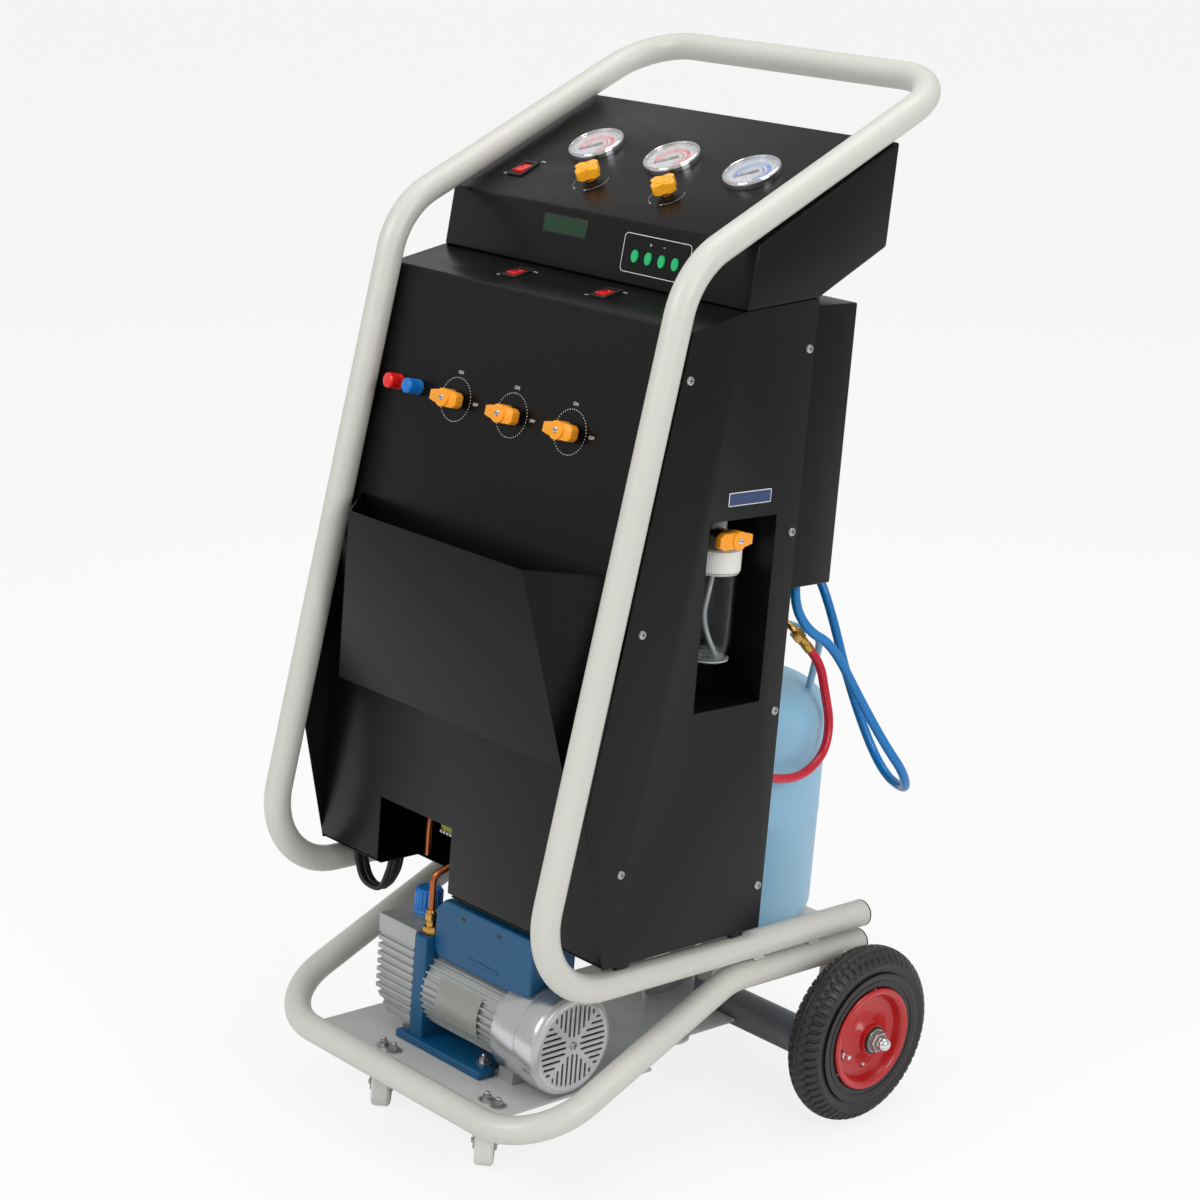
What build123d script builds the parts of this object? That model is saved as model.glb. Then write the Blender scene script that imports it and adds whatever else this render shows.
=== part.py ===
from build123d import *
import math
import os

os.makedirs("parts", exist_ok=True)

# An air conditioning recharge station on a two-wheel cart, in millimetres.
# The cart is drawn level, about the middle of its wheel axle: +X to the user's right,
# +Y to the back, +Z up. At the end the whole cart leans back as it stands on its casters.
lean_angle = 6.0
wheel_radius = 107.5

# Frame tubes
tube_radius = 16.0
tube_wall = 2.0
frame_half_width = 238.5
upper_run_z = 122.0
frame_rear_y = 48.5
front_corner_y = -485.0
knee_y = -335.0
knee_z = 908.0
crossbar_y = 52.5
crossbar_z = 1104.5
front_bend = 90.0
knee_bend = 100.0
crossbar_bend = 70.0
weld_gap = 4.0
lower_bend_y = -170.5
toe_bar_y = -461.5
toe_bar_z = -50.5
lower_bend = 80.0
toe_bend = 85.0
weld_length = 12.0
weld_places = (-127.0, -34.0)
plug_head = 3.0
plug_depth = 14.0
seat_gap = 0.3
weld_overlap = 2.0

# Axle and wheels
axle_radius = 8.0
upright_y = 8.0
upright_radius = 15.0
upright_foot_z = -62.0
cross_tube_radius = 23.0
cross_tube_z = -42.0
wheel_offset = 55.5
wheel_centre_x = frame_half_width + wheel_offset
tyre_half_width = 24.0
rim_seat_radius = 55.0
rim_flange_radius = 62.0
rim_flange_x = 25.0
rim_wall = 4.0
rim_holes = 5
rim_hole_radius = 6.5
rim_hole_circle = 34.0
hub_radius = 17.0
hub_half_length = 27.0
hub_clearance = 0.05
nut_across = 24.0
nut_height = 10.0
nut_dome_radius = 10.0
washer_radius = 14.0
washer_height = 2.5
axle_collar_radius = 12.5

# Base plate and casters
plate_top_z = -46.0
plate_thickness = 4.0
plate_half_width = 161.0
plate_rear_y = -205.0
tongue_half_width = 112.0
caster_x = 95.0
caster_y = -400.0
caster_turn = 45.0
caster_wheel_radius = 28.0
caster_wheel_half_width = 11.0
caster_trail = 16.0
caster_pad = 52.0
caster_pad_thickness = 2.5
caster_head_radius = 17.0
caster_head_height = 12.0
caster_fork_wall = 2.5
caster_pin_radius = 3.0
caster_running_gap = 0.4

# Housing, as points of the side wall seen from the right
housing_overhang = 10.9
housing_half_width = frame_half_width + housing_overhang
sheet = 1.5
housing_bottom_z = 147.0
housing_rear_y = -142.0
front_foot_y = -387.0
cheek_y = -430.4
cheek_z = 322.6
panel_foot_y = -390.0
panel_foot_z = 153.0
panel_fold_z = 534.0
shelf_front_y = -330.5
shelf_front_z = 845.0
shelf_rear_y = -253.8
shelf_rear_z = 862.8
console_front_y = -244.7
console_front_z = 931.6
console_rear_y = -35.8
console_rear_z = 1040.0
console_heel_y = -40.5
console_heel_z = 925.3
housing_top_z = 872.9
rear_box_depth = 63.0
rear_box_bottom_z = 548.0
rear_box_top_z = 865.4
notch_left_x = -140.0
notch_right_x = -10.0
notch_top_z = 231.0
notch_depth = 60.0
foot_half_width = 10.0
foot_places = (-350.0, -170.0)

# Niche for the oil bottle in the right wall
niche_front_y = -280.5
niche_rear_y = -177.1
niche_bottom_z = 423.1
niche_top_z = 636.3
niche_depth = 74.0
oil_bottle_inset = 41.4
oil_bottle_x = housing_half_width - oil_bottle_inset
oil_bottle_y = -225.0
oil_bottle_radius = 26.5
oil_bottle_bottom_z = 467.0
oil_bottle_height = 104.0
oil_bottle_foot_radius = 21.0
oil_bottle_taper = 22.0
oil_cap_radius = 29.0
oil_cap_height = 27.0
bottle_wall = 1.5
oil_neck_height = 14.0
niche_handle_y = -231.5
niche_handle_height = 12.0
niche_short_wing = 20.5
niche_long_wing = 29.0

# Document pocket
pocket_top_half = 148.2
pocket_top_y = -455.1
pocket_top_z = 580.8
pocket_root_half = 218.0
pocket_bottom_half = 195.2
pocket_bottom_z = 366.7
pocket_low_depth = 29.0

# Console fittings. Distances up the console are measured from its front fold.
gauge_spacing = 126.5
gauge_up = 124.5
gauge_radius = 34.0
gauge_height = 9.0
gauge_body_depth = 32.0
gauge_body_radius = 30.0
gauge_floor = 3.0
gauge_rim = 3.5
glass_thickness = 2.0
needle_length = 22.0
needle_tail = 8.0
needle_width = 2.0
needle_boss_radius = 2.5
needle_thickness = 0.8
knob_left_x = -70.5
knob_right_x = 54.0
knob_up = 58.0
knob_radius = 14.5
knob_height = 12.0
knob_lift = 8.0
stem_radius = 4.0
stem_clearance = 0.05
console_switch_x = -186.0
console_switch_up = 57.0
switch_half_width = 7.5
switch_half_length = 10.5
switch_rim = 2.0
switch_rim_height = 1.8
switch_depth = 16.0
switch_tilt = 12.0
switch_pin_radius = 1.5
switch_pin_seat = 1.0
shelf_switch_left_x = -80.0
shelf_switch_right_x = 67.5
shelf_switch_up = 45.0
button_first_x = 70.0
button_spacing = 21.0
button_up = 32.5
button_half_width = 5.0
button_half_height = 7.0
button_proud = 2.0
button_travel = 1.2
button_depth = 6.0
button_gap = 0.3

# Front valves and service ports. Distances are measured down the front panel from the shelf.
valve_spacing = 96.0
valve_middle_x = 4.0
valve_down = 135.0
valve_handle_length = 45.0
valve_handle_hub = 10.5
valve_handle_height = 16.0
valve_handle_lift = 6.0
valve_body_radius = 11.0
valve_body_depth = 34.0
port_left_x = -190.0
port_right_x = -156.0
port_radius = 5.5
port_length = 16.0
port_cap_radius = 9.0
port_cap_length = 20.0
port_down = 133.0

# Vacuum pump
pump_y = -350.0
pump_z = 23.0
pump_base_left_x = -75.0
pump_base_right_x = 77.0
pump_base_half_width = 50.0
pump_base_height = 10.0
post_left_x = -57.0
post_right_x = -35.0
post_half_width = 45.0
post_top_z = 89.0
case_left_x = -125.0
case_half_width = 43.0
case_top_z = 92.0
case_bottom_z = -26.0
case_taper = 24.0
case_fins = 9
fin_pitch = 10.0
fin_cut = 4.5
fin_depth = 3.0
motor_radius = 50.0
motor_fins = 36
motor_fin_depth = 4.0
bell_left_x = 100.0
bell_radius = 58.0
cowl_left_x = 143.0
cowl_right_x = 176.0
cowl_radius = 60.0
cowl_wall = 2.0
cowl_round = 9.0
grille_radius = 48.0
grille_middle = 10.0
slot_width = 3.0
slot_pitch = 7.0
fan_radius = 48.0
fan_blades = 8
fan_hub_radius = 12.0
fan_width = 14.0
fan_shaft_radius = 5.0
top_left_x = -34.7
top_right_x = 134.0
top_half_width = 34.0
top_bottom_z = 67.0
top_top_z = 140.0
top_round = 6.0
fitting_x = -46.0
fitting_y = -381.0
fitting_radius = 8.0
pipe_radius = 4.0
pipe_bend = 14.0
pipe_rise = 35.0
pipe_run_x = 24.0
pipe_run_y = 60.0
pipe_start = 24.0
filler_x = -88.0
filler_y = -350.0
filler_radius = 17.0
filler_height = 32.0

# Tank, its stand, hoses and the cord
tank_radius = 120.0
tank_y = 45.0
tank_bottom_z = 58.0
tank_body_height = 300.0
tank_crown = 42.0
tank_foot_round = 24.0
guard_half_width = 93.0
guard_foot_half = 80.0
guard_offset = 50.0
guard_height = 67.0
guard_rod_radius = 4.5
guard_bend = 14.0
stand_half_width = 45.0
stand_front_y = -105.0
stand_post = 25.0
platform_half = 118.0
platform_thickness = 6.0
stand_top = 5.0
hose_radius = 5.6
waste_bottle_x = 100.0
waste_bottle_y = -125.0
waste_bottle_radius = 30.0
waste_bottle_height = 125.0
hank_x = -frame_half_width + 58.5
hank_length = 80.0
hank_height = 52.0
hank_thickness = 17.0
hank_depth = 20.0
compressor_x = -75.0
compressor_y = -250.0
compressor_radius = 55.0
compressor_height = 150.0

pieces = []


def keep(builder, name):
    # Names a finished piece and keeps it for the export at the end.
    builder.part.label = name
    pieces.append(builder.part)


def unit(start, end):
    # The direction from one (y, z) point to another.
    run = math.hypot(end[0] - start[0], end[1] - start[1])
    return ((end[0] - start[0]) / run, (end[1] - start[1]) / run)


def inset_points(points, depth):
    # The points moved to the right of the line that they make, by depth, with mitred corners.
    moved = []
    for index, point in enumerate(points):
        before = unit(points[max(index - 1, 0)], points[max(index, 1)])
        after = unit(points[min(index, len(points) - 2)], points[min(index + 1, len(points) - 1)])
        normal = (before[1] + after[1], -before[0] - after[0])
        share = depth / (1 + before[0] * after[0] + before[1] * after[1])
        moved.append((point[0] + normal[0] * share, point[1] + normal[1] * share))
    return moved


def face_plane(start, end, up, x=0.0, lift=0.0):
    # A plane on a sloping face whose side view runs from start to end: its own x is the cart's
    # X, its own y runs up the face, and up is measured from start.
    along = unit(start, end)
    origin = (
        x,
        start[0] + along[0] * up - along[1] * lift,
        start[1] + along[1] * up + along[0] * lift,
    )
    return Plane(origin=origin, x_dir=(1, 0, 0), z_dir=(0, -along[1], along[0]))


shelf_front = (shelf_front_y, shelf_front_z)
shelf_rear = (shelf_rear_y, shelf_rear_z)
console_front = (console_front_y, console_front_z)
console_rear = (console_rear_y, console_rear_z)
console_heel = (console_heel_y, console_heel_z)
housing_heel = (housing_rear_y, housing_top_z)
panel_fold = (panel_foot_y, panel_fold_z)
panel_foot = (panel_foot_y, panel_foot_z)
rear_box_y = housing_rear_y + rear_box_depth


def console_plane(x, up, lift=0.0):
    return face_plane(console_front, console_rear, up, x, lift)


def display_plane(x, up, lift=0.0):
    return face_plane(shelf_rear, console_front, up, x, lift)


def shelf_plane(x, up, lift=0.0):
    return face_plane(shelf_front, shelf_rear, up, x, lift)


front_run = math.dist(shelf_front, panel_fold)


def front_plane(x, down, lift=0.0):
    return face_plane(panel_fold, shelf_front, front_run - down, x, lift)


# Frame
lower_run_z = upper_run_z - 2 * tube_radius - weld_gap
upper_side = [
    (frame_half_width, frame_rear_y, upper_run_z),
    (frame_half_width, front_corner_y, upper_run_z),
    (frame_half_width, knee_y, knee_z),
    (frame_half_width, crossbar_y, crossbar_z),
]
upper_points = upper_side + [(-x, y, z) for x, y, z in reversed(upper_side)]
upper_bends = [front_bend, knee_bend, crossbar_bend, crossbar_bend, knee_bend, front_bend]
with BuildPart() as upper_frame:
    with BuildLine() as upper_path:
        FilletPolyline(*upper_points, radius=upper_bends)
    with BuildSketch(Plane(origin=upper_path.line @ 0, z_dir=upper_path.line % 0)):
        Circle(tube_radius)
        Circle(tube_radius - tube_wall, mode=Mode.SUBTRACT)
    sweep()
keep(upper_frame, "upper_frame")

lower_side = [
    (frame_half_width, frame_rear_y, lower_run_z),
    (frame_half_width, lower_bend_y, lower_run_z),
    (frame_half_width, toe_bar_y, toe_bar_z),
]
lower_points = lower_side + [(-x, y, z) for x, y, z in reversed(lower_side)]
with BuildPart() as lower_frame:
    with BuildLine() as lower_path:
        FilletPolyline(*lower_points, radius=[lower_bend, toe_bend, toe_bend, lower_bend])
    with BuildSketch(Plane(origin=lower_path.line @ 0, z_dir=lower_path.line % 0)):
        Circle(tube_radius)
    sweep()
    with Locations(*[(side * frame_half_width, y, lower_run_z + tube_radius + weld_gap / 2)
                     for side in (-1, 1) for y in weld_places]):
        Box(weld_length / 2, weld_length, weld_gap + 2 * weld_overlap)
    with Locations(*[(side * frame_half_width, 0, upper_run_z) for side in (-1, 1)]):
        Cylinder(tube_radius, 4 * abs(front_corner_y), rotation=(90, 0, 0), mode=Mode.SUBTRACT)
    with BuildSketch(Plane(origin=lower_path.line @ 0, z_dir=lower_path.line % 0)):
        Circle(tube_radius - tube_wall)
    sweep(path=lower_path.line, mode=Mode.SUBTRACT)
keep(lower_frame, "lower_frame")

with BuildPart() as frame_plugs:
    for plug_x in (-frame_half_width, frame_half_width):
        for plug_z in (lower_run_z, upper_run_z):
            with BuildSketch(Plane.XZ.offset(-frame_rear_y)):
                with Locations((plug_x, plug_z)):
                    Circle(tube_radius)
            extrude(amount=-plug_head)
            with BuildSketch(Plane.XZ.offset(-frame_rear_y)):
                with Locations((plug_x, plug_z)):
                    Circle(tube_radius - tube_wall)
            extrude(amount=plug_depth)
keep(frame_plugs, "frame_plugs")

# The axle carrier: two uprights welded under the lower tubes, a cross tube and a stub each side.
with BuildPart() as axle_carrier:
    for side in (-1, 1):
        with BuildSketch(Plane.XY.offset(upright_foot_z)):
            with Locations((side * frame_half_width, upright_y)):
                Circle(upright_radius)
        extrude(amount=lower_run_z - upright_foot_z)
        with Locations((side * frame_half_width, upright_y, lower_run_z)):
            Cylinder(tube_radius, 4 * tube_radius, rotation=(90, 0, 0), mode=Mode.SUBTRACT)
    with BuildSketch(Plane.YZ):
        with Locations((upright_y, cross_tube_z)):
            Circle(cross_tube_radius)
    extrude(amount=frame_half_width - upright_radius / 2, both=True)
    with BuildSketch(Plane.YZ):
        Circle(axle_radius)
    extrude(amount=2 * frame_half_width, both=True, mode=Mode.SUBTRACT)
keep(axle_carrier, "axle_carrier")

hub_inner_x = wheel_centre_x - hub_half_length
hub_outer_x = wheel_centre_x + hub_half_length
axle_end_x = hub_outer_x + seat_gap + washer_height + nut_height
with BuildPart() as axle_hardware:
    for side in (-1, 1):
        with BuildSketch(Plane.YZ.offset(side * (frame_half_width - upright_radius))):
            Circle(axle_radius)
        extrude(amount=side * (axle_end_x - frame_half_width + upright_radius))
        with BuildSketch(Plane.YZ.offset(side * (frame_half_width + upright_radius + seat_gap))):
            Circle(axle_collar_radius)
        extrude(amount=side * (hub_inner_x - frame_half_width - upright_radius - 2 * seat_gap))
        with BuildSketch(Plane.YZ.offset(side * (hub_outer_x + seat_gap))):
            Circle(washer_radius)
        extrude(amount=side * washer_height)
        with BuildSketch(Plane.YZ.offset(side * (hub_outer_x + seat_gap + washer_height))):
            RegularPolygon(nut_across / 2, 6, major_radius=False)
        extrude(amount=side * nut_height)
        with Locations((side * axle_end_x, 0, 0)):
            Sphere(nut_dome_radius)
keep(axle_hardware, "axle_hardware")


def tyre_block(name, centre_x):
    # A tyre with a bulged side wall and a crowned tread, turned about the axle.
    with BuildPart() as tyre:
        with BuildSketch() as section:
            with BuildLine():
                seat = tyre_half_width - rim_wall
                shoulder_radius = wheel_radius - 7
                middle = (rim_flange_radius + shoulder_radius) / 2
                flange = (centre_x + seat, rim_flange_radius)
                shoulder = (centre_x + seat, shoulder_radius)
                Polyline((centre_x - seat, rim_flange_radius), (centre_x - seat, rim_seat_radius),
                         (centre_x + seat, rim_seat_radius), flange)
                ThreePointArc(flange, (centre_x + tyre_half_width, middle), shoulder)
                ThreePointArc(shoulder, (centre_x, wheel_radius), (centre_x - seat, shoulder_radius))
                ThreePointArc((centre_x - seat, shoulder_radius), (centre_x - tyre_half_width, middle),
                              (centre_x - seat, rim_flange_radius))
            make_face()
        revolve(axis=Axis.X)
    keep(tyre, name)


def rim_block(name, side):
    # A pressed rim: two flanges, the barrel between them, a dished web and the hub.
    centre_x = side * wheel_centre_x
    seat = tyre_half_width - rim_wall
    barrel_radius = rim_seat_radius - rim_wall
    with BuildPart() as rim:
        with BuildSketch():
            with Locations((centre_x, (rim_seat_radius + barrel_radius) / 2)):
                Rectangle(2 * rim_flange_x, rim_wall)
            for edge in (-1, 1):
                with Locations((centre_x + edge * (seat + rim_flange_x) / 2,
                                (barrel_radius + rim_flange_radius) / 2)):
                    Rectangle(rim_flange_x - seat, rim_flange_radius - barrel_radius)
            with Locations((centre_x, (hub_radius + axle_radius + hub_clearance) / 2)):
                Rectangle(2 * hub_half_length, hub_radius - axle_radius - hub_clearance)
            with BuildLine():
                web_hub = centre_x + side * (hub_half_length - 2 * rim_wall)
                web_rim = centre_x + side * rim_wall
                Polyline((web_hub, hub_radius - 1), (web_hub, hub_radius + rim_wall),
                         (web_rim, barrel_radius + 1), (web_rim - side * rim_wall, barrel_radius + 1),
                         (web_hub - side * rim_wall, hub_radius + rim_wall),
                         (web_hub - side * rim_wall, hub_radius - 1), close=True)
            make_face()
        revolve(axis=Axis.X)
        with BuildSketch(Plane.YZ.offset(centre_x)):
            with PolarLocations(rim_hole_circle, rim_holes):
                Circle(rim_hole_radius)
        extrude(amount=hub_half_length, both=True, mode=Mode.SUBTRACT)
    keep(rim, name)


tyre_block("tyre_right", wheel_centre_x)
tyre_block("tyre_left", -wheel_centre_x)
rim_block("rim_right", 1)
rim_block("rim_left", -1)

# Base plate: the pump's deck behind the toe bar, with a tongue back to the cross tube
deck_front_y = toe_bar_y + tube_radius + seat_gap
tongue_rear_y = upright_y - cross_tube_radius - seat_gap
with BuildPart() as base_plate:
    with BuildSketch(Plane.XY.offset(plate_top_z)):
        with Locations((0, (deck_front_y + plate_rear_y) / 2)):
            Rectangle(2 * plate_half_width, plate_rear_y - deck_front_y)
        with Locations((0, (plate_rear_y + tongue_rear_y) / 2)):
            Rectangle(2 * tongue_half_width, tongue_rear_y - plate_rear_y)
    extrude(amount=-plate_thickness)
    with BuildSketch(Plane.XY.offset(plate_top_z - plate_thickness)):
        with Locations((-caster_x, caster_y), (caster_x, caster_y)):
            RectangleRounded(caster_pad, caster_pad, caster_pin_radius)
    extrude(amount=-caster_pad_thickness)
keep(base_plate, "base_plate")

# The floor slopes under the level cart. Each caster's axle stands one wheel radius above it.
lean = math.radians(lean_angle)


def floor_z(y):
    return -wheel_radius / math.cos(lean) + y * math.tan(lean)


pad_top_z = plate_top_z - plate_thickness
fork_top_z = pad_top_z - caster_pad_thickness
fork_floor_z = fork_top_z - caster_head_height
trail_y = caster_trail * math.cos(math.radians(caster_turn))
trail_x = -caster_trail * math.sin(math.radians(caster_turn))
axle_tilt = math.sin(lean) * math.sin(math.radians(caster_turn))
caster_height = caster_wheel_radius * math.sqrt(1 - axle_tilt**2)
caster_height += (caster_wheel_half_width - caster_fork_wall) * axle_tilt
caster_axle_z = floor_z(caster_y + trail_y) + caster_height / math.cos(lean)


def caster_fork_block(name, x):
    # A swivel head under the pad, with two cheeks that reach back to the wheel's axle.
    inner = caster_wheel_half_width + caster_running_gap
    outer = inner + caster_fork_wall
    turned = Plane(origin=(x, caster_y, 0), x_dir=(math.cos(math.radians(caster_turn)),
                   math.sin(math.radians(caster_turn)), 0), z_dir=(0, 0, 1))
    side_plane = Plane(origin=turned.origin, x_dir=turned.y_dir, z_dir=turned.x_dir)
    with BuildPart() as fork:
        with BuildSketch(Plane.XY.offset(fork_top_z - caster_running_gap)):
            with Locations((x, caster_y)):
                Circle(caster_head_radius)
        extrude(amount=caster_running_gap - caster_head_height)
        with BuildSketch(side_plane):
            with BuildLine():
                head = fork_floor_z + caster_fork_wall
                Polyline((-caster_head_radius, head), (-caster_head_radius, fork_floor_z - 2),
                         (caster_trail - 8, caster_axle_z - 7), (caster_trail + 7, caster_axle_z - 7),
                         (caster_trail + 9, caster_axle_z + 6), (caster_head_radius, head), close=True)
            make_face()
        extrude(amount=outer, both=True)
        with BuildSketch(side_plane):
            with Locations((caster_trail, fork_floor_z - abs(fork_floor_z - caster_axle_z))):
                Rectangle(8 * caster_head_radius, 2 * abs(fork_floor_z - caster_axle_z))
        extrude(amount=inner, both=True, mode=Mode.SUBTRACT)
        with BuildSketch(side_plane):
            with Locations((caster_trail, caster_axle_z)):
                Circle(caster_pin_radius)
        extrude(amount=outer + caster_fork_wall, both=True)
    keep(fork, name)


def caster_wheel_block(name, x):
    turned = Plane(origin=(x + trail_x, caster_y + trail_y, caster_axle_z),
                   x_dir=(-math.sin(math.radians(caster_turn)), math.cos(math.radians(caster_turn)), 0),
                   z_dir=(math.cos(math.radians(caster_turn)), math.sin(math.radians(caster_turn)), 0))
    with BuildPart() as wheel:
        with BuildSketch(turned):
            Circle(caster_wheel_radius)
            Circle(caster_pin_radius + hub_clearance, mode=Mode.SUBTRACT)
        extrude(amount=caster_wheel_half_width, both=True)
        chamfer(wheel.edges().filter_by(GeomType.CIRCLE).sort_by(SortBy.RADIUS)[-2:], caster_fork_wall)
    keep(wheel, name)


caster_fork_block("caster_fork_right", caster_x)
caster_fork_block("caster_fork_left", -caster_x)
caster_wheel_block("caster_wheel_right", caster_x)
caster_wheel_block("caster_wheel_left", -caster_x)

# Housing
side_outline = [
    (front_foot_y, housing_bottom_z),
    (cheek_y, cheek_z),
    shelf_front,
    shelf_rear,
    housing_heel,
    (housing_rear_y, housing_bottom_z),
]


niche_middle_y = (niche_front_y + niche_rear_y) / 2
niche_middle_z = (niche_bottom_z + niche_top_z) / 2
niche_width = niche_rear_y - niche_front_y
niche_height = niche_top_z - niche_bottom_z
with BuildPart() as side_panel_right:
    with BuildSketch(Plane.YZ.offset(housing_half_width)):
        Polygon(*side_outline, align=None)
    extrude(amount=-sheet)
    with BuildSketch(Plane.YZ.offset(housing_half_width)):
        with Locations((niche_middle_y, niche_middle_z)):
            Rectangle(niche_width, niche_height)
    extrude(amount=-sheet, mode=Mode.SUBTRACT)
    with BuildSketch(Plane.YZ.offset(housing_half_width - sheet)):
        with Locations((niche_middle_y, niche_middle_z)):
            Rectangle(niche_width + 2 * sheet, niche_height + 2 * sheet)
    extrude(amount=sheet - niche_depth)
    with BuildSketch(Plane.YZ.offset(housing_half_width - sheet)):
        with Locations((niche_middle_y, niche_middle_z)):
            Rectangle(niche_width, niche_height)
    extrude(amount=2 * sheet - niche_depth, mode=Mode.SUBTRACT)
keep(side_panel_right, "side_panel_right")

with BuildPart() as side_panel_left:
    with BuildSketch(Plane.YZ.offset(-housing_half_width)):
        Polygon(*side_outline, align=None)
    extrude(amount=sheet)
keep(side_panel_left, "side_panel_left")

# The front is one folded sheet: foot, slanted face and shelf.
inner_half_width = housing_half_width - sheet
front_line = [panel_foot, panel_fold, shelf_front, shelf_rear]
with BuildPart() as front_panel:
    with BuildSketch(Plane.YZ):
        Polygon(*front_line, *reversed(inset_points(front_line, sheet)), align=None)
    extrude(amount=inner_half_width, both=True)
    with BuildSketch(Plane.XZ.offset(-panel_foot_y)):
        with Locations(((notch_left_x + notch_right_x) / 2, (panel_foot_z + notch_top_z) / 2)):
            Rectangle(notch_right_x - notch_left_x, notch_top_z - panel_foot_z)
    extrude(amount=3 * sheet, both=True, mode=Mode.SUBTRACT)
    for hole_x in (-valve_spacing, 0, valve_spacing):
        with BuildSketch(front_plane(hole_x + valve_middle_x, valve_down)):
            Circle(stem_radius + seat_gap)
        extrude(amount=3 * sheet, both=True, mode=Mode.SUBTRACT)
    for hole_x in (port_left_x, port_right_x):
        with BuildSketch(front_plane(hole_x, port_down)):
            Circle(port_radius)
        extrude(amount=3 * sheet, both=True, mode=Mode.SUBTRACT)
    for hole_x in (shelf_switch_left_x, shelf_switch_right_x):
        with BuildSketch(shelf_plane(hole_x, shelf_switch_up)):
            Rectangle(2 * switch_half_width, 2 * switch_half_length)
        extrude(amount=3 * sheet, both=True, mode=Mode.SUBTRACT)
keep(front_panel, "front_panel")

rear_line = [(front_foot_y + 2 * sheet, housing_bottom_z), (housing_rear_y, housing_bottom_z),
             (housing_rear_y, housing_top_z - seat_gap)]
with BuildPart() as rear_panel:
    with BuildSketch(Plane.YZ):
        Polygon(*rear_line, *reversed(inset_points(rear_line, -sheet)), align=None)
    extrude(amount=inner_half_width, both=True)
    with BuildSketch(Plane.XY.offset(housing_bottom_z)):
        with Locations(((notch_left_x + notch_right_x) / 2, front_foot_y + notch_depth / 2)):
            Rectangle(notch_right_x - notch_left_x, notch_depth)
    extrude(amount=2 * sheet, mode=Mode.SUBTRACT)
    with BuildSketch(Plane.XZ.offset(-housing_rear_y)):
        with Locations((0, (rear_box_bottom_z + rear_box_top_z) / 2)):
            Rectangle(inner_half_width, (rear_box_top_z - rear_box_bottom_z) / 2)
    extrude(amount=2 * sheet, mode=Mode.SUBTRACT)
    foot_top = housing_bottom_z
    foot_z = upper_run_z + tube_radius + seat_gap
    with Locations(*[(side * frame_half_width, y, (foot_top + foot_z) / 2)
                     for side in (-1, 1) for y in foot_places]):
        Box(foot_half_width, 2 * foot_half_width, foot_top - foot_z)
keep(rear_panel, "rear_panel")

with BuildPart() as rear_box:
    with BuildSketch(Plane.XZ.offset(-housing_rear_y)):
        with Locations((0, (rear_box_bottom_z + rear_box_top_z) / 2)):
            Rectangle(2 * housing_half_width, rear_box_top_z - rear_box_bottom_z)
    extrude(amount=-rear_box_depth)
    offset(amount=-sheet, openings=rear_box.faces().sort_by(Axis.Y)[0])
keep(rear_box, "rear_box")

console_outline = [shelf_rear, console_front, console_rear, console_heel, housing_heel]
with BuildPart() as console_box:
    with BuildSketch(Plane.YZ):
        Polygon(*console_outline, align=None)
    extrude(amount=housing_half_width, both=True)
    with BuildSketch(Plane.YZ):
        Polygon(*inset_points([housing_heel] + console_outline + [shelf_rear], sheet)[1:-1], align=None)
    extrude(amount=inner_half_width, both=True, mode=Mode.SUBTRACT)
    for gauge in (-1, 0, 1):
        with BuildSketch(console_plane(gauge * gauge_spacing, gauge_up)):
            Circle(gauge_body_radius)
        extrude(amount=3 * sheet, both=True, mode=Mode.SUBTRACT)
    for hole_x in (knob_left_x, knob_right_x):
        with BuildSketch(console_plane(hole_x, knob_up)):
            Circle(stem_radius + seat_gap)
        extrude(amount=3 * sheet, both=True, mode=Mode.SUBTRACT)
    with BuildSketch(console_plane(console_switch_x, console_switch_up)):
        Rectangle(2 * switch_half_width, 2 * switch_half_length)
    extrude(amount=3 * sheet, both=True, mode=Mode.SUBTRACT)
    for place in range(4):
        with BuildSketch(display_plane(button_first_x + place * button_spacing, button_up)):
            Ellipse(button_half_width + button_gap, button_half_height + button_gap)
        extrude(amount=3 * sheet, both=True, mode=Mode.SUBTRACT)
keep(console_box, "console_box")

# The document pocket is a thin sheet wedge that opens upwards, in front of the slanted face.
panel_slope = (panel_foot_y - shelf_front_y) / (shelf_front_z - panel_fold_z)


def slant_y(z):
    return shelf_front_y + panel_slope * (shelf_front_z - z)


def pocket_sections(inset, lift):
    # The bottom and top outlines of the wedge, drawn in by inset all round.
    low_y = max(slant_y(pocket_bottom_z) - seat_gap, panel_foot_y - 1)
    low_half = pocket_bottom_half - inset
    top_half = pocket_top_half - inset
    root_half = pocket_root_half - inset
    front_low = panel_foot_y - pocket_low_depth + inset
    front_top = pocket_top_y + inset
    back_top = slant_y(pocket_top_z) - seat_gap
    low = [(-low_half, front_low), (low_half, front_low), (low_half, low_y), (-low_half, low_y)]
    top = [(-top_half, front_top), (top_half, front_top), (root_half, back_top), (-root_half, back_top)]
    return low, top, pocket_bottom_z + lift, pocket_top_z + lift


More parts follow.
